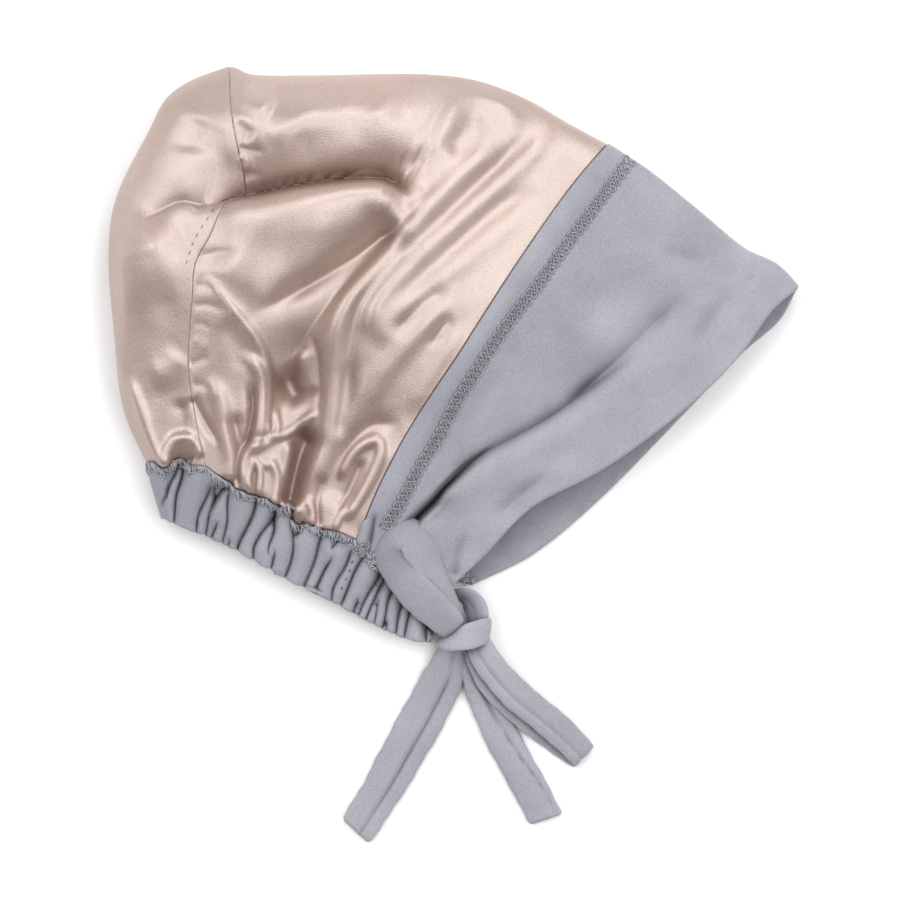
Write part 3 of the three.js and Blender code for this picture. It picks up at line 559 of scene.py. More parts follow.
def shell(name, mid, wall, material, floor=0.05):
    """A closed wall round the grid of mid points; wall is its thickness at each point."""
    rows, cols = mid.shape[:2]
    n = normals(mid)
    wall = np.broadcast_to(wall, (rows, cols))[..., None]
    outer, inner = mid + n * wall / 2, mid - n * wall / 2
    outer[..., 2] = np.maximum(outer[..., 2], floor)
    inner[..., 2] = np.maximum(inner[..., 2], floor + .1)
    uv = np.stack([eased(arc(mid, 0), 1), eased(arc(mid, 1), 0)], 2).reshape(-1, 2) / 1000.0
    idx = np.arange(rows * cols).reshape(rows, cols)
    half = rows * cols
    a, b, c, d = idx[:-1, :-1], idx[:-1, 1:], idx[1:, 1:], idx[1:, :-1]
    quads = [np.stack([a, b, c, d], -1).reshape(-1, 4), np.stack([a, d, c, b], -1).reshape(-1, 4) + half]
    for e, flip in ((idx[0], False), (idx[-1], True), (idx[:, 0], True), (idx[:, -1], False)):
        q = np.stack([e[:-1], e[:-1] + half, e[1:] + half, e[1:]], -1)
        quads.append(q[:, ::-1] if flip else q)
    return new_mesh(name, np.vstack([outer.reshape(-1, 3), inner.reshape(-1, 3)]),
                    np.vstack(quads), material, np.vstack([uv, uv]))


# --------------------------------------------------------------------------- materials
class Nodes:
    def __init__(self, name):
        self.mat = bpy.data.materials.new(name)
        self.mat.use_nodes = True
        self.tree = self.mat.node_tree
        self.tree.nodes.clear()
        self.out = self.add("ShaderNodeOutputMaterial")
        self.bsdf = self.add("ShaderNodeBsdfPrincipled")
        self.link(self.bsdf.outputs["BSDF"], self.out.inputs["Surface"])

    def add(self, kind, **settings):
        node = self.tree.nodes.new(kind)
        for k, v in settings.items():
            if k in node.inputs.keys() if hasattr(node, "inputs") else False:
                node.inputs[k].default_value = v
            else:
                setattr(node, k, v)
        return node

    def link(self, a, b):
        self.tree.links.new(a, b)

    def noise(self, vector, scale, detail=3.0, rough=.55):
        n = self.add("ShaderNodeTexNoise")
        n.inputs["Scale"].default_value = scale
        n.inputs["Detail"].default_value = detail
        n.inputs["Roughness"].default_value = rough
        self.link(vector, n.inputs["Vector"])
        return n.outputs["Fac"]

    def wave(self, vector, scale, direction="X", distort=0.0):
        n = self.add("ShaderNodeTexWave", wave_type="BANDS", bands_direction=direction)
        n.inputs["Scale"].default_value = scale
        n.inputs["Distortion"].default_value = distort
        self.link(vector, n.inputs["Vector"])
        return n.outputs["Fac"]

    def maths(self, op, a, b):
        n = self.add("ShaderNodeMath", operation=op)
        for i, v in enumerate((a, b)):
            if isinstance(v, (int, float)):
                n.inputs[i].default_value = v
            else:
                self.link(v, n.inputs[i])
        return n.outputs[0]

    def mapping(self, vector, scale):
        n = self.add("ShaderNodeMapping")
        n.inputs["Scale"].default_value = scale
        self.link(vector, n.inputs["Vector"])
        return n.outputs["Vector"]

    def ramp(self, fac, stops):
        n = self.add("ShaderNodeValToRGB")
        e = n.color_ramp.elements
        while len(e) < len(stops):
            e.new(.5)
        for el, (pos, col) in zip(e, stops):
            el.position = pos
            el.color = (*col, 1)
        self.link(fac, n.inputs["Fac"])
        return n.outputs["Color"]

    def bump(self, height, strength, distance, normal=None):
        n = self.add("ShaderNodeBump")
        n.inputs["Strength"].default_value = strength
        n.inputs["Distance"].default_value = distance
        self.link(height, n.inputs["Height"])
        if normal is not None:
            self.link(normal, n.inputs["Normal"])
        return n.outputs["Normal"]

    def painted_crease_shade(self, colour, reach, deep, tint):
        """The colour with painted shade: darker towards the tint where the cloth around it leaves little of the sky
        open.
        """
        n = self.add("ShaderNodeAmbientOcclusion", samples=12)
        n.inputs["Distance"].default_value = reach
        lo = self.add("ShaderNodeMapRange")
        lo.inputs["From Min"].default_value = deep[0]
        lo.inputs["From Max"].default_value = deep[1]
        self.link(n.outputs["AO"], lo.inputs["Value"])
        m = self.add("ShaderNodeMix", data_type="RGBA", blend_type="MULTIPLY")
        m.inputs["Factor"].default_value = 1.0
        self.link(colour, m.inputs[6])
        self.link(self.ramp(lo.outputs["Result"], [(0.0, tint), (1.0, (1, 1, 1))]), m.inputs[7])
        return m.outputs[2], lo.outputs["Result"]

    def range(self, fac, lo, hi):
        n = self.add("ShaderNodeMapRange")
        n.inputs["To Min"].default_value = lo
        n.inputs["To Max"].default_value = hi
        self.link(fac, n.inputs["Value"])
        return n.outputs["Result"]


def uv_of(n):
    node = n.add("ShaderNodeUVMap")
    node.uv_map = "cloth"
    return node.outputs["UV"]


def satin_material(name="satin", tint=(1, 1, 1)):
    n = Nodes(name)
    geo = n.add("ShaderNodeTexCoord").outputs["Object"]
    uv = uv_of(n)
    soft = n.noise(geo, 22, 4)
    fine = n.noise(n.mapping(uv, (1, .35, 1)), 2100, 2)
    base = [(.225, .145, .113), (.30, .20, .16), (.385, .268, .222)]
    base = [tuple(c * t for c, t in zip(b, tint)) for b in base]
    both = n.maths("ADD", n.maths("MULTIPLY", soft, .35), n.maths("MULTIPLY", fine, .65))
    # painted shade: an occlusion node darkens the satin's colour towards warm brown in creases and hollows
    colour, _ = n.painted_crease_shade(n.ramp(both, [(.36, base[0]), (.5, base[1]), (.64, base[2])]), .016, (.3, .93), (.36, .215, .15))
    n.link(colour, n.bsdf.inputs["Base Color"])
    n.link(n.range(fine, .37, .49), n.bsdf.inputs["Roughness"])
    weave = n.maths("ADD", n.wave(uv, 700, "X", .6), n.maths("MULTIPLY", n.wave(uv, 420, "Y", .8), .5))
    b1 = n.bump(weave, .12, .00006)
    b2 = n.bump(n.noise(n.mapping(uv, (1, .3, 1)), 2300, 3), 1.0, .00016, b1)
    b3 = n.bump(n.noise(geo, 60, 3), .22, .0006, b2)
    n.link(b3, n.bsdf.inputs["Normal"])
    n.bsdf.inputs["Metallic"].default_value = .1
    n.bsdf.inputs["IOR"].default_value = 2.4
    n.bsdf.inputs["Specular IOR Level"].default_value = 1.0
    n.bsdf.inputs["Specular Tint"].default_value = (1.0, .905, .865, 1)
    n.bsdf.inputs["Anisotropic"].default_value = .5
    n.bsdf.inputs["Sheen Weight"].default_value = .04
    n.bsdf.inputs["Sheen Roughness"].default_value = .35
    return n.mat


def jersey_material(name="jersey", shade=1.0):
    n = Nodes(name)
    geo = n.add("ShaderNodeTexCoord").outputs["Object"]
    uv = uv_of(n)
    soft = n.noise(geo, 30, 3)
    grain = n.noise(geo, 1500, 3, .7)
    both = n.maths("ADD", n.maths("MULTIPLY", soft, .45), n.maths("MULTIPLY", grain, .55))
    cols = [(.230, .228, .262), (.295, .294, .334), (.370, .370, .415)]
    cols = [tuple(c * shade for c in k) for k in cols]
    # painted shade: an occlusion node darkens the jersey's colour towards dark grey in creases and between gathers
    colour, _ = n.painted_crease_shade(n.ramp(both, [(.33, cols[0]), (.5, cols[1]), (.68, cols[2])]), .009, (.28, .86), (.2, .2, .23))
    n.link(colour, n.bsdf.inputs["Base Color"])
    n.bsdf.inputs["Roughness"].default_value = .86
    knit = n.maths("MULTIPLY", n.wave(uv, 330, "X", 1.2), n.wave(uv, 420, "Y", 1.2))
    b1 = n.bump(knit, .35, .00018)
    b2 = n.bump(grain, .3, .0002, b1)
    n.link(b2, n.bsdf.inputs["Normal"])
    n.bsdf.inputs["Specular IOR Level"].default_value = .2
    n.bsdf.inputs["Sheen Weight"].default_value = .35
    n.bsdf.inputs["Sheen Roughness"].default_value = .5
    return n.mat


def thread_material(name, colour):
    n = Nodes(name)
    geo = n.add("ShaderNodeTexCoord").outputs["Object"]
    twist = n.noise(geo, 3000, 2)
    dark = tuple(c * .75 for c in colour)
    n.link(n.ramp(twist, [(.35, dark), (.65, colour)]), n.bsdf.inputs["Base Color"])
    n.link(n.bump(twist, .4, .0001), n.bsdf.inputs["Normal"])
    n.bsdf.inputs["Roughness"].default_value = .6
    n.bsdf.inputs["Sheen Weight"].default_value = .2
    return n.mat


SATIN = satin_material()
JERSEY = jersey_material()
TIE_JERSEY = jersey_material("tie_jersey", 1.04)
THREAD = thread_material("gray_thread", (.36, .36, .40))
BROWN_THREAD = thread_material("brown_thread", (.30, .2, .16))
# near-black: the seam's thread with painted shade of its groove
SEAM_THREAD_AND_SHADE = thread_material("seam_thread", (.07, .05, .05))
LIGHT_THREAD = thread_material("light_thread", (.37, .37, .415))
# dark thread of the casing seam, also used as painted shade in the gaps of the cover stitch
DARK_THREAD_AND_GAP_SHADE = thread_material("dark_thread_and_gap_shade", (.10, .10, .115))

# -------------------------------------------------------------------------- the panels
def steps(near, far):
    return np.r_[np.linspace(0, 1, near + 1), np.linspace(1, 2, far + 1)[1:]]


def seam_dip(p, v, edges, depth=.8, reach=.7):
    """Turns the edges of a panel down into its seams."""
    across = arc(p, 1)
    full = across[:, -1:]
    if "left" in edges:
        p[..., 2] -= depth * np.exp(-across / reach)
    if "right" in edges:
        p[..., 2] -= depth * np.exp(-(full - across) / reach)
    return p


def edge_steps(count, ends):
    """Even steps with a few close ones at the ends named in it."""
    v = np.linspace(0, 1, count + 1)
    close = np.array([.0012, .003, .006])
    if "left" in ends:
        v = np.r_[v[:1], close, v[1:]]
    if "right" in ends:
        v = np.r_[v[:-1], 1 - close[::-1], v[-1:]]
    return np.unique(v)


def crown_extra(p, W, V, S, near):
    return p


FRONT = lift(front_near, front_far, steps(200, 40), np.linspace(.0008, .9992, 188), SATIN_REST)
crown_front = shell("crown_front_satin", FRONT, SATIN_WALL, SATIN)
BACK = lift(back_near, back_far, steps(64, 30), np.linspace(0, 1, 220), SATIN_REST)
crown_back = shell("crown_back_satin", BACK, SATIN_WALL, SATIN)

band_v = np.r_[np.linspace(.0015, .985, 118), 1 - .015 * (1 - np.linspace(0, 1, 9)[1:]) ** 1.6]
BAND = lift(band_near, band_far, steps(210, 64), band_v, JERSEY_REST)
left_over = arc(BAND, 1)[:, -1:] - arc(BAND, 1)
hem_wall = JERSEY_WALL * np.sqrt(np.clip(1 - np.clip(1 - left_over / (JERSEY_WALL * .6), 0, 1) ** 2, .01, 1))
front_band = shell("front_band_jersey", BAND, hem_wall, JERSEY)

foot_v = np.r_[.06 * np.linspace(0, 1, 7) ** 1.6, np.linspace(.06, .998, 36)[1:]]
CASING = lift(casing_plan, casing_plan, steps(430, 110), foot_v, JERSEY_REST)
over = arc(CASING, 1)
foot_wall = CASING_WALL * np.sqrt(np.clip(1 - np.clip(1 - over / (CASING_WALL * .6), 0, 1) ** 2, .01, 1))
nape_band = shell("nape_band_jersey", CASING, foot_wall, JERSEY)

for piece, node, slot_name in ((crown_front, "crown_front", "satin"), (crown_back, "crown_back", "satin"),
                               (front_band, "front_band", "jersey"), (nape_band, "nape_band", "jersey")):
    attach(piece, "root")
    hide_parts(node)

# ------------------------------------------------------------------------------ the bow
# Centre lines of the two ties. x, y on the plan, z height, the direction of the width in the
# world (right, up the picture, up off the surface), half width, half height, place of the
# groove across the width (-1 to 1), depth of the groove, height of a ridge in its stead
TIE_NEAR = [
    (434, 617, 8.4, -.1, .9, .3, 4.2, 1.3, 0, .5, 0),
    (441, 621, 8.4, -.1, .9, .3, 4.2, 1.3, 0, .4, 0),
    (450, 628, 8.2, -.1, .9, .3, 3.6, 1.3, 0, .2, 0),
    (462, 637, 7.8, -.3, .8, .4, 3.4, 1.3, 0, 0, 0),
    (467, 636, 8.0, -.6, .2, .5, 3.4, 1.3, 0, 0, 0),
    (463, 629, 9.4, -.62, -.3, .66, 3.8, 1.3, 0, 0, .2),
    (457, 617, 11.4, -.6, -.28, .74, 4.6, 1.4, -.1, 0, .5),
    (447, 601, 14.0, -.62, -.26, .74, 5.6, 1.5, -.1, 0, .8),
    (438, 583, 15.6, -.64, -.26, .72, 6.4, 1.5, -.1, 0, .9),
    (427, 561, 17.6, -.66, -.32, .66, 7.8, 1.5, .2, 0, .9),
    (419, 546, 18.8, -.6, -.46, .64, 8.8, 1.5, .3, 0, .8),
    (412, 537, 19.4, -.3, -.68, .66, 8.8, 1.5, .2, 0, .4),
    (405, 533, 19.6, .06, -.74, .66, 8.8, 1.5, 0, 0, 0),
    (396, 535, 19.4, .42, -.5, .76, 8.4, 1.5, 0, 0, 0),
    (390, 543, 19.6, .64, -.1, .76, 7.9, 1.5, 0, 0, 0),
    (389, 552, 19.5, .72, .22, .66, 7.6, 1.6, 0, 0, 0),
    (394, 561, 19.2, .74, .42, .54, 7.6, 1.7, 0, 0, 0),
    (409, 584, 18.4, .76, .46, .46, 7.7, 1.8, 0, 0, 0),
    (426, 602, 17.4, .77, .48, .40, 7.6, 1.9, 0, 0, 0),
    (440, 615, 16.0, .77, .50, .34, 7.0, 2.1, 0, 0, 0),
    (449, 624, 13.6, .77, .50, .28, 6.2, 2.3, 0, 0, 0),
    (455, 632, 10.4, .8, .4, .2, 5.0, 2.2, 0, 0, 0),
    (456, 641, 7.0, .9, .1, .1, 4.8, 1.9, .1, .2, 0),
    (453, 652, 4.2, .9, -.1, .05, 6.0, 1.7, .1, .8, 0),
    (447, 671, 2.4, .88, -.35, .02, 7.2, 1.6, .22, 1.5, 0),
    (438, 690, 1.9, .88, -.45, 0, 8.1, 1.6, .27, 1.8, 0),
    (425, 715, 1.7, .88, -.46, 0, 8.3, 1.6, .28, 1.9, 0),
    (411, 740, 1.7, .87, -.48, 0, 8.3, 1.6, .28, 1.9, 0),
    (397, 765, 1.6, .87, -.49, 0, 8.0, 1.5, .27, 1.8, 0),
    (383, 790, 1.6, .86, -.5, 0, 7.6, 1.5, .26, 1.7, 0),
    (369, 812, 1.6, .85, -.52, 0, 7.2, 1.5, .25, 1.6, 0),
    (355, 834, 1.6, .84, -.54, 0, 7.0, 1.5, .25, 1.5, 0),
]
TIE_FAR = [
    (452, 596, 4.0, .1, .5, .85, 3.6, 1.2, 0, .3, 0),
    (462, 596, 5.0, .15, .55, .8, 4.2, 1.3, 0, .4, 0),
    (470, 601, 6.2, .5, .6, .62, 5.2, 1.3, 0, .4, 0),
    (475, 610, 7.6, .8, .3, .52, 5.6, 1.3, 0, .3, 0),
    (476, 621, 8.6, .9, .1, .42, 5.6, 1.4, 0, .2, 0),
    (476, 634, 9.0, .9, .25, .2, 4.6, 1.5, -.1, .4, 0),
    (481, 650, 10.2, .78, .6, .12, 5.2, 1.5, -.24, .8, 0),
    (489, 664, 9.8, .72, .68, .08, 5.6, 1.5, -.26, 1.0, 0),
    (501, 679, 8.8, .69, .72, .05, 5.8, 1.5, -.28, 1.1, 0),
    (519, 698, 7.2, .62, .78, .02, 5.9, 1.5, -.3, 1.1, 0),
    (541, 716, 6.0, .58, .81, 0, 5.9, 1.5, -.3, 1.1, 0),
    (562, 734, 5.2, .62, .78, 0, 5.8, 1.4, -.3, 1.0, 0),
    (577, 749, 4.6, .66, .75, 0, 5.6, 1.3, -.3, .9, 0),
    (584, 757, 3.4, .68, .73, 0, 5.5, 1.2, -.3, .7, 0),
    (583, 757, 2.0, .68, .73, 0, 5.5, 1.1, -.3, .5, 0),
    (574, 751, 1.4, .66, .75, 0, 5.8, 1.0, 0, .2, 0),
    (555, 737, 1.5, .6, .8, 0, 6.2, 1.0, 0, .2, 0),
    (532, 719, 2.6, .6, .8, 0, 6.3, 1.1, 0, .2, 0),
    (509, 700, 4.0, .66, .75, .03, 6.2, 1.2, 0, .2, 0),
    (491, 680, 5.6, .74, .66, .05, 5.8, 1.2, 0, .2, 0),
    (480, 662, 6.8, .8, .5, .05, 5.0, 1.2, 0, .2, 0),
    (474, 646, 7.0, .85, .35, .05, 4.4, 1.2, 0, .2, 0),
    (470, 640, 5.6, .9, .3, .05, 4.2, 1.2, 0, .2, 0),
    (470, 650, 4.2, .9, .38, .04, 4.4, 1.3, .1, .5, 0),
    (474, 668, 3.2, .9, .42, .02, 5.0, 1.4, .1, .9, 0),
    (481, 692, 2.2, .89, .45, 0, 5.8, 1.5, .1, 1.2, 0),
    (491, 715, 1.7, .88, .47, 0, 6.3, 1.5, .15, 1.4, 0),
    (503, 740, 1.6, .87, .49, 0, 6.5, 1.5, .25, 1.5, 0),
    (517, 766, 1.6, .87, .5, 0, 6.5, 1.5, .4, 1.4, 0),
    (532, 793, 1.6, .88, .48, 0, 6.5, 1.5, .6, 1.1, 0),
    (547, 822, 1.6, .89, .45, 0, 6.6, 1.5, .75, .7, 0),
]
# The wrap of the knot, from under its right end over the top to its left tip
WRAP = [
    (482, 630, 4.0, .1, .9, 0, 4.4, 1.2, 0, 0, 0),
    (488, 631, 7.5, .12, .95, 0, 4.9, 1.3, 0, 0, 0),
    (487, 631, 11.5, .14, .95, 0, 5.1, 1.4, 0, 0, 0),
    (480, 633, 14.2, .18, .95, 0, 5.1, 1.5, 0, 0, 0),
    (470, 636, 15.6, .26, .95, -.05, 4.9, 1.6, 0, 0, 0),
    (460, 640, 15.2, .34, .9, -.12, 4.2, 1.6, 0, 0, 0),
    (450, 643, 13.2, .36, .88, -.2, 3.2, 1.5, 0, 0, 0),
    (442, 643, 10.4, .3, .88, -.3, 2.2, 1.3, 0, 0, 0),
    (438, 641, 7.8, .2, .9, -.3, 1.4, 1.0, 0, 0, 0),
]


def tie_lines(rows, count):
    r = np.array(rows, float)
    pos = np.stack([(r[:, 0] - GRID_X) * GRID, (GRID_Y - r[:, 1]) * GRID, r[:, 2]], 1)
    dense = catmull(np.hstack([pos, r[:, 3:] * .02]), 24)
    keep = np.r_[True, np.linalg.norm(np.diff(dense[:, :3], axis=0), axis=1) > 1e-4]
    dense = dense[keep]
    d = np.r_[0, np.cumsum(np.linalg.norm(np.diff(dense[:, :3], axis=0), axis=1))]
    t = np.linspace(0, d[-1], count + 1)
    out = np.stack([np.interp(t, d, dense[:, k]) for k in range(dense.shape[1])], 1)
    out[:, 3:] /= .02
    # the path's corners are eased a little
    p = out.copy()
    for _ in range(3):
        p[1:-1] = (p[:-2] + 2 * p[1:-1] + p[2:]) / 4
    return p, t


def tie_mesh(name, rows, material, count, seed, tip=1.6, slant=(0, 0)):
    p, along = tie_lines(rows, count)
    pos = p[:, :3]
    tan = np.gradient(pos, axis=0)
    tan /= np.linalg.norm(tan, axis=1, keepdims=True)
    wid = p[:, 3:6] - (p[:, 3:6] * tan).sum(1, keepdims=True) * tan
    wid /= np.linalg.norm(wid, axis=1, keepdims=True)
    nor = np.cross(tan, wid)
    for _ in range(4):
        nor[1:-1] = (nor[:-2] + nor[1:-1] * 2 + nor[2:]) / 4
    nor /= np.linalg.norm(nor, axis=1, keepdims=True)
    total = along[-1]
    a_top = np.sin(np.linspace(-1, 1, 27) * np.pi / 2)
    a_top = np.sign(a_top) * np.abs(a_top) ** .92
    a_bot = np.sin(np.linspace(1, -1, 13)[1:-1] * np.pi / 2)
    rings = []
    for i in range(count + 1):
        half, high, c, groove, ridge = p[i, 6:11]
        near_end = min(1.0, (total - along[i]) / tip, (along[i] + .2) / tip)
        soft = math.sqrt(max(0.0, 1 - (1 - near_end) ** 2))
        half *= .82 + .18 * soft
        high *= .35 + .65 * soft
        a = np.r_[a_top, a_bot]
        dome = high * (1 - np.abs(a) ** 2.6) ** (1 / 2.6)
        cut = groove * soft * np.exp(-(np.abs(a - c) * half / .55) ** 1.3)
        peak = ridge * np.clip(1 - np.abs(a - c) / .9, 0, 1)
        crease = wave_noise(a * half * 1.0 + seed * 7, along[i] + a * 0, 11, seed, 2) * .16 * soft
        up = np.where(np.arange(len(a)) < len(a_top), dome - cut + peak + crease, -dome * .8 - .25 * cut)
        edge = 1 + .02 * math.sin(along[i] * .31 + seed) + .015 * math.sin(along[i] * .83 + 2 * seed)
        lean = slant[1] * a if along[i] > total - 25 else slant[0] * a if along[i] < 25 else 0 * a
        fade = max(0.0, 1 - (total - along[i]) / 25) if along[i] > total / 2 else max(0.0, 1 - along[i] / 25)
        ring = (pos[i] + np.outer(a * half * edge, wid[i]) + np.outer(up, nor[i])
                + np.outer(lean * fade * half, tan[i]))
        rings.append(ring)
    g = np.array(rings)
    g[..., 2] = np.maximum(g[..., 2], .05)
    n, k = g.shape[:2]
    idx = np.arange(n * k).reshape(n, k)
    nxt = np.roll(idx, -1, 1)
    quads = np.stack([idx[:-1], nxt[:-1], nxt[1:], idx[1:]], -1).reshape(-1, 4)
    verts = g.reshape(-1, 3)
    faces = quads.tolist()
    ends = [verts.shape[0], verts.shape[0] + 1]
    verts = np.vstack([verts, g[0].mean(0), g[-1].mean(0)])
    for j in range(k):
        faces.append([ends[0], int(nxt[0, j]), int(idx[0, j])])
        faces.append([ends[1], int(idx[-1, j]), int(nxt[-1, j])])
    across = np.concatenate([a_top * 8, 16 + a_bot * 8])
    uv = np.stack(np.broadcast_arrays(along[:, None], across[None, :]), 2).reshape(-1, 2) / 1000
    uv = np.vstack([uv, uv[0], uv[-1]])
    return new_mesh(name, verts, faces, material, uv), pos / 1000.0


tie_near, near_path = tie_mesh("bow_tie_near", TIE_NEAR, TIE_JERSEY, 260, 3, slant=(0, .18))
tie_far, far_path = tie_mesh("bow_tie_far", TIE_FAR, TIE_JERSEY, 300, 5, slant=(0, .15))
wrap, _ = tie_mesh("bow_wrap", WRAP, TIE_JERSEY, 60, 9, tip=2.5)
BOW = (("near", tie_near, near_path, ("tie_near", "bow_loop_left", "tail_left")),
       ("far", tie_far, far_path, ("tie_far", "bow_loop_right", "tail_right")))
for _, piece, path, cad_nodes in BOW:
    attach(piece, "root")
    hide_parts(*cad_nodes)
    length = float(np.linalg.norm(np.diff(path, axis=0), axis=1).sum())
    print("TIE", piece.name, round(length, 4))
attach(wrap, "root")
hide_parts("bow_knot")


# ------------------------------------------------------------------- threads and seams
def on_near(xy, up):
    """Points on the near side above the plan points xy, up millimetres off the mid surface."""
    xy = np.asarray(xy, float)
    e = .6
    pts = []
    for dx, dy in ((0, 0), (e, 0), (0, e)):
        x, y, z = near_surface(xy[:, 0] + dx, xy[:, 1] + dy)
        pts.append(np.stack([(x - GRID_X) * GRID, (GRID_Y - y) * GRID, z], 1))
    n = np.cross(pts[2] - pts[0], pts[1] - pts[0])
    n /= np.linalg.norm(n, axis=1, keepdims=True)
    n[n[:, 2] < 0] *= -1
    return pts[0] + n * np.asarray(up).reshape(-1, 1)


def all_on_near(jobs):
    """The same for many short lines, given as (plan points, height) pairs."""
    sizes = [len(xy) for xy, _ in jobs]
    xy = np.vstack([xy for xy, _ in jobs])
    up = np.concatenate([np.broadcast_to(np.asarray(u, float), (n,)) for (_, u), n in zip(jobs, sizes)])
    return np.split(on_near(xy, up), np.cumsum(sizes)[:-1])


def offset(line, by):
    """The plan polyline moved by to its right, seen along it."""
    t = np.gradient(line, axis=0)
    t /= np.linalg.norm(t, axis=1, keepdims=True)
    return line + np.stack([-t[:, 1], t[:, 0]], 1) * np.asarray(by).reshape(-1, 1)


def tubes(name, lines, radius, material, sides=6, taper=.5):
    verts, faces = [], []
    for line in lines:
        p = np.asarray(line, float)
        t = np.gradient(p, axis=0)
        t /= np.maximum(np.linalg.norm(t, axis=1, keepdims=True), 1e-9)
        ref = np.array([0, 0, 1.0]) if abs(t[:, 2]).mean() < .8 else np.array([1.0, 0, 0])
        u = np.cross(t, ref)
        u /= np.maximum(np.linalg.norm(u, axis=1, keepdims=True), 1e-9)
        w = np.cross(u, t)
        r = np.full(len(p), radius)
        r[0] *= taper
        r[-1] *= taper
        ang = np.linspace(0, 2 * np.pi, sides, endpoint=False)
        ring = (p[:, None] + r[:, None, None] * (np.cos(ang)[None, :, None] * u[:, None]
                                                 + np.sin(ang)[None, :, None] * w[:, None]))
        base = sum(len(v) for v in verts)
        n = len(p)
        idx = np.arange(n * sides).reshape(n, sides) + base
        nxt = np.roll(idx, -1, 1)
        verts.append(ring.reshape(-1, 3))
        faces += np.stack([idx[:-1], nxt[:-1], nxt[1:], idx[1:]], -1).reshape(-1, 4).tolist()
        faces.append(idx[0][::-1].tolist())
        faces.append(idx[-1].tolist())
    v = np.vstack(verts)
    v[:, 2] = np.maximum(v[:, 2], .06)
    ob = new_mesh(name, v, faces, material)
    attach(ob, "root")
    return ob


# cover stitch of the band: two needle lines and the looper thread that crosses between them
COVER = [(631, 158), (596, 205), (562, 250), (538, 284), (510, 319), (486, 353), (471, 377), (455, 402),
         (439, 434), (419, 467), (400, 503), (382, 531)]
cover = spaced(catmull(COVER, 30), 600)
cover_len = np.linalg.norm(np.diff(cover, axis=0), axis=1).sum()
stitches = int(cover_len / 7.8)
HALF = 5.4


def along_cover(t):
    f = np.clip(t / cover_len, 0, 1) * 600
    i = np.minimum(f.astype(int), 599)
    return cover[i] + (cover[i + 1] - cover[i]) * (f - i)[:, None], (cover[i + 1] - cover[i]) / np.linalg.norm(
        cover[i + 1] - cover[i], axis=1, keepdims=True)


def cover_point(t, side):
    p, d = along_cover(np.asarray(t, float))
    return p + np.stack([-d[:, 1], d[:, 0]], 1) * np.asarray(side).reshape(-1, 1)


band_up = JERSEY_WALL / 2
threads, gap_shade_bars = [], []
for k in range(stitches):
    t0 = (k + .3) * 7.8
    j = RNG.uniform(-.5, .5, 8)
    # needle loops on both lines
    for side in (-HALF, HALF):
        t = t0 + np.linspace(0, 7.4, 8) + j[0]
        bow_out = side + np.sign(side) * (1.7 * np.sin(np.linspace(0, np.pi, 8)) - .4 + .3 * j[1])
        threads.append((cover_point(t, bow_out), band_up + .1 + .4 * np.sin(np.linspace(0, np.pi, 8))))
    # looper thread crossing twice in each stitch
    t = t0 + np.array([0, .8, 2.2, 3.4, 4.6, 5.2]) + j[2]
    s = np.array([HALF + .2, HALF * .6, HALF * .1, -HALF * .3, -HALF * .7, -HALF - .2])
    threads.append((cover_point(t, s), band_up + .1 + .34 * np.sin(np.linspace(0, np.pi, 6))))
    t = t0 + 5.4 + np.array([0, .5, .9, 1.6, 2.2]) + j[3]
    s = np.array([-HALF, -HALF * .5, 0, HALF * .5, HALF])
    threads.append((cover_point(t, s), band_up + .1 + .3 * np.sin(np.linspace(0, np.pi, 5))))
    # painted shade: dark tubes laid in the gaps of the stitch, where the thread draws the cloth in
    for at, half in ((2.0, -1), (5.6, 1)):
        t = t0 + at + np.array([-.2, .5, .9, 1.0]) + j[4]
        s = half * np.array([HALF * .98, HALF * .62, HALF * .3, HALF * .12]) + j[5] * .4
        gap_shade_bars.append((cover_point(t, s), np.full(4, band_up - .02)))
cover_stitch = tubes("cover_stitch", all_on_near(threads), .25, THREAD, 5)
cover_gap_shade = tubes("cover_stitch_gap_shade", all_on_near(gap_shade_bars), .32, DARK_THREAD_AND_GAP_SHADE, 5)

# the turned seam between satin and band, as a near-black tube: thread and painted shade in the seam's groove
seam_pts = spaced(seam_front(np.linspace(0, 1, 400)), 400)
band_seam_thread_and_shade = tubes("band_seam_thread_and_shade", [on_near(seam_pts[2:-1], np.full(398, .15))], .56, SEAM_THREAD_AND_SHADE, 6)


def running(name, line, pitch, length, up, radius, material, side=0.0, wobble=.3):
    pts = spaced(offset(spaced(catmull(line, 30), 300), side), 600)
    total = np.linalg.norm(np.diff(pts, axis=0), axis=1).sum()
    out = []
    for k in range(int(total / pitch)):
        t = (k * pitch + np.linspace(0, length, 5) + RNG.uniform(-wobble, wobble)) / total * 600
        i = np.clip(t.astype(int), 0, 599)
        p = pts[i] + (pts[i + 1] - pts[i]) * (t - i)[:, None]
        out.append((p, up + .16 * np.sin(np.linspace(0, np.pi, 5))))
    return tubes(name, all_on_near(out), radius, material, 5)


satin_up = SATIN_WALL / 2
topstitch = running("back_topstitch", [(193, 268), (202, 244), (216, 222), (226, 207)], 9.5, 4.6, satin_up, .17, BROWN_THREAD, -4.5)
seam_thread = running("back_seam_thread", SEAM_BACK[:7], 5.0, 4.4, .1, .2, BROWN_THREAD, .6)
seam_upper = running("back_seam_upper", SEAM_BACK[7:], 4.4, 4.2, .1, .22, BROWN_THREAD, .5)
casing_seam = running("casing_seam", [(353, 560), (347, 575), (341, 588), (335, 602)], 9.6, 3.2, CASING_WALL / 2, .24, DARK_THREAD_AND_GAP_SHADE)

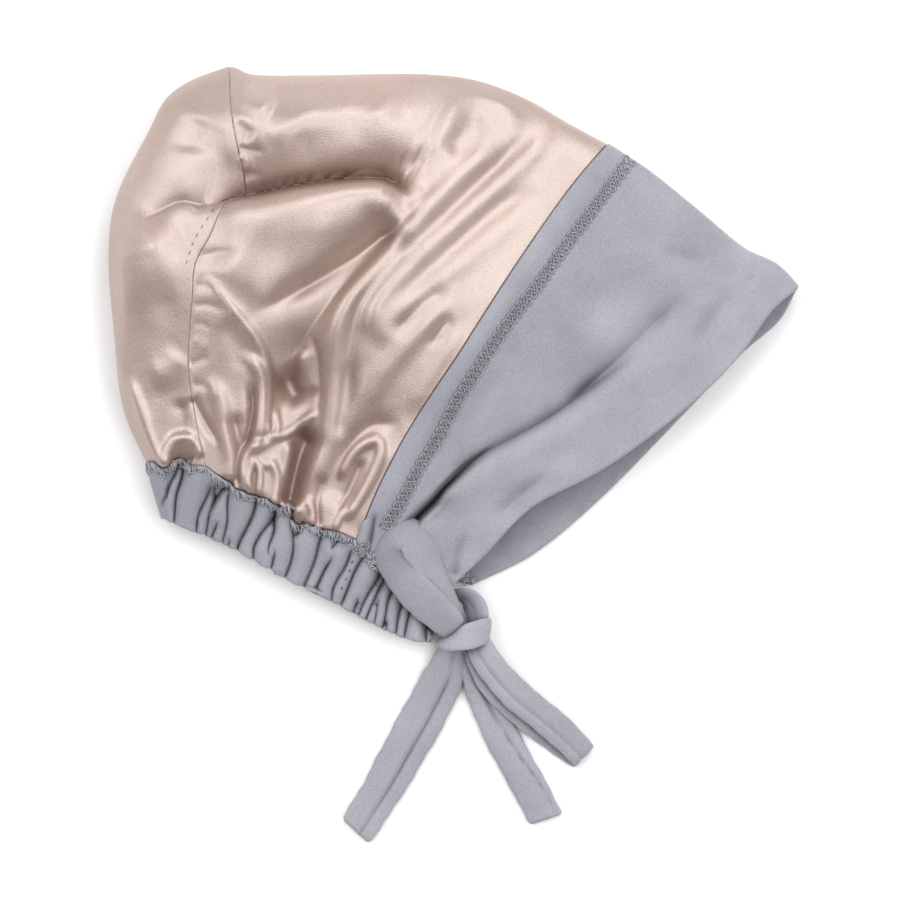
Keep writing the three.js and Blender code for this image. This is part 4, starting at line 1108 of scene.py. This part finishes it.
# overlocked edge of the gathered seam: loops of thread laid over the edge of the casing
loops = []
top_pts = spaced(casing_top(np.linspace(.003, .985, 1200)), 1200)
down = spaced(casing_foot(np.linspace(.003, .985, 1200)), 1200) - top_pts
down /= np.linalg.norm(down, axis=1, keepdims=True)
edge_len = np.linalg.norm(np.diff(top_pts, axis=0), axis=1).sum()
count = int(edge_len / 1.7)
for k in range(count):
    f = k / count * 1200
    i = int(f)
    p, d = top_pts[i], down[i]
    t = top_pts[min(i + 6, 1200)] - top_pts[i]
    t = t / np.linalg.norm(t)
    tall = 9.4 + 1.5 * math.sin(k * .31) + 1.2 * math.sin(k * .83 + 1) + RNG.uniform(-2.8, 2.2)
    skew = RNG.uniform(-3.6, 3.6)
    arcs = np.linspace(0, 1, 7)
    xy = p + np.outer(arcs * tall - 1.4, d) + np.outer(np.sin(arcs * np.pi) * 1.3 + arcs * skew, t)
    loops.append((xy, CASING_WALL / 2 + .1 + .45 * np.sin(arcs * np.pi) * RNG.uniform(.5, 1.4)))
    if k % 2 == 0:
        at = RNG.uniform(.35, 1.0)
        xy = p + np.outer(tall * (at + np.array([0, .05, .02, -.04, 0])) - 1.4, d) + np.outer(np.linspace(-2.2, 2.8, 5), t)
        loops.append((xy, CASING_WALL / 2 + .25))
# loose loops on the two ends of the seam, where band and casing are joined
for cx, cy, rx, ry, n in ((364, 549, 5.5, 8, 26), (374, 562, 6, 8, 26), (386, 566, 5, 6, 12)):
    for _ in range(n):
        ang, rad = RNG.uniform(0, 2 * np.pi), RNG.uniform(0, 1) ** .5
        x, y = cx + rx * rad * math.cos(ang), cy + ry * rad * math.sin(ang)
        turn, size = RNG.uniform(0, 2 * np.pi), RNG.uniform(1.2, 2.4)
        a = np.linspace(0, RNG.uniform(3, 5.5), 7) + turn
        loops.append((np.stack([x + size * np.cos(a), y + size * .8 * np.sin(a)], 1),
                      CASING_WALL / 2 + .15 + .35 * np.sin(np.linspace(0, np.pi, 7)) * RNG.uniform(.4, 1.4)))
far_loops = []
for _ in range(30):
    ang, rad = RNG.uniform(0, 2 * np.pi), RNG.uniform(0, 1) ** .5
    x, y = 468 + 6.5 * rad * math.cos(ang), 580 + 6.5 * rad * math.sin(ang)
    turn, size = RNG.uniform(0, 2 * np.pi), RNG.uniform(1.2, 2.4)
    a = np.linspace(0, RNG.uniform(3, 5.5), 7) + turn
    far_loops.append(np.stack([(x + size * np.cos(a) - GRID_X) * GRID, (GRID_Y - y - size * .8 * np.sin(a)) * GRID,
                               JERSEY_REST + JERSEY_WALL / 2 + .15 + .35 * np.sin(np.linspace(0, np.pi, 7))], 1))
overlock = tubes("overlock_edge", all_on_near(loops) + far_loops, .25, LIGHT_THREAD, 5)

# -------------------------------------------------------------------- floor and lights
def add_floor():
    me = bpy.data.meshes.new("floor")
    s = 2.5
    me.from_pydata([(-s, -s, 0), (s, -s, 0), (s, s, 0), (-s, s, 0)], [], [(0, 1, 2, 3)])
    ob = bpy.data.objects.new("floor", me)
    SCENE.collection.objects.link(ob)
    n = Nodes("floor_paper")
    geo = n.add("ShaderNodeTexCoord").outputs["Object"]
    n.link(n.ramp(n.noise(geo, 8, 2), [(.3, (.925, .925, .925)), (.7, (.94, .94, .94))]), n.bsdf.inputs["Base Color"])
    n.bsdf.inputs["Roughness"].default_value = .8
    me.materials.append(n.mat)


def area(name, where, target, size, power, colour=(1, 1, 1)):
    data = bpy.data.lights.new(name, "AREA")
    data.shape = "RECTANGLE"
    data.size, data.size_y = size
    data.energy = power
    data.color = colour
    ob = bpy.data.objects.new(name, data)
    ob.location = where
    ob.rotation_euler = (Vector(target) - Vector(where)).to_track_quat("-Z", "Y").to_euler()
    SCENE.collection.objects.link(ob)
    return ob


add_floor()
def add_world():
    """A studio sky: a soft ceiling and a wide soft box on each side."""
    world = bpy.data.worlds.new("world")
    SCENE.world = world
    world.use_nodes = True
    tree = world.node_tree
    back = tree.nodes["Background"]
    coord = tree.nodes.new("ShaderNodeTexCoord")
    total = None
    for towards, rows in SKY:
        dot = tree.nodes.new("ShaderNodeVectorMath")
        dot.operation = "DOT_PRODUCT"
        dot.inputs[1].default_value = Vector(towards).normalized()
        reach = tree.nodes.new("ShaderNodeMapRange")
        reach.inputs["From Min"].default_value = -1
        reach.inputs["To Max"].default_value = 1
        ramp = tree.nodes.new("ShaderNodeValToRGB")
        e = ramp.color_ramp.elements
        while len(e) < len(rows):
            e.new(.5)
        for el, (c, v) in zip(e, rows):
            el.position = (c + 1) / 2
            el.color = (v / 5, v / 5, v / 5, 1)
        tree.links.new(coord.outputs["Generated"], dot.inputs[0])
        tree.links.new(dot.outputs["Value"], reach.inputs["Value"])
        tree.links.new(reach.outputs["Result"], ramp.inputs["Fac"])
        if total is None:
            total = ramp.outputs["Color"]
        else:
            add = tree.nodes.new("ShaderNodeVectorMath")
            add.operation = "ADD"
            tree.links.new(total, add.inputs[0])
            tree.links.new(ramp.outputs["Color"], add.inputs[1])
            total = add.outputs["Vector"]
    tree.links.new(total, back.inputs["Color"])
    back.inputs["Strength"].default_value = 5.0


# for each light: direction, then rows of cosine to that direction and brightness
SKY = [
    ((.05, .3, .95), [(-1, .06), (0, .12), (.5, .3), (.8, .69), (1, .98)]),
    ((-.62, .26, .74), [(.78, 0), (.88, .7), (.95, 2.25), (1, 2.7)]),
    ((.60, -.02, .8), [(.78, 0), (.88, .8), (.95, 2.2), (1, 2.6)]),
]
add_world()
area("key", (.3, 1.0, .75), (0, 0, 0), (.4, .4), 4)
SCENE.view_settings.view_transform = "Standard"
SCENE.view_settings.look = "None"
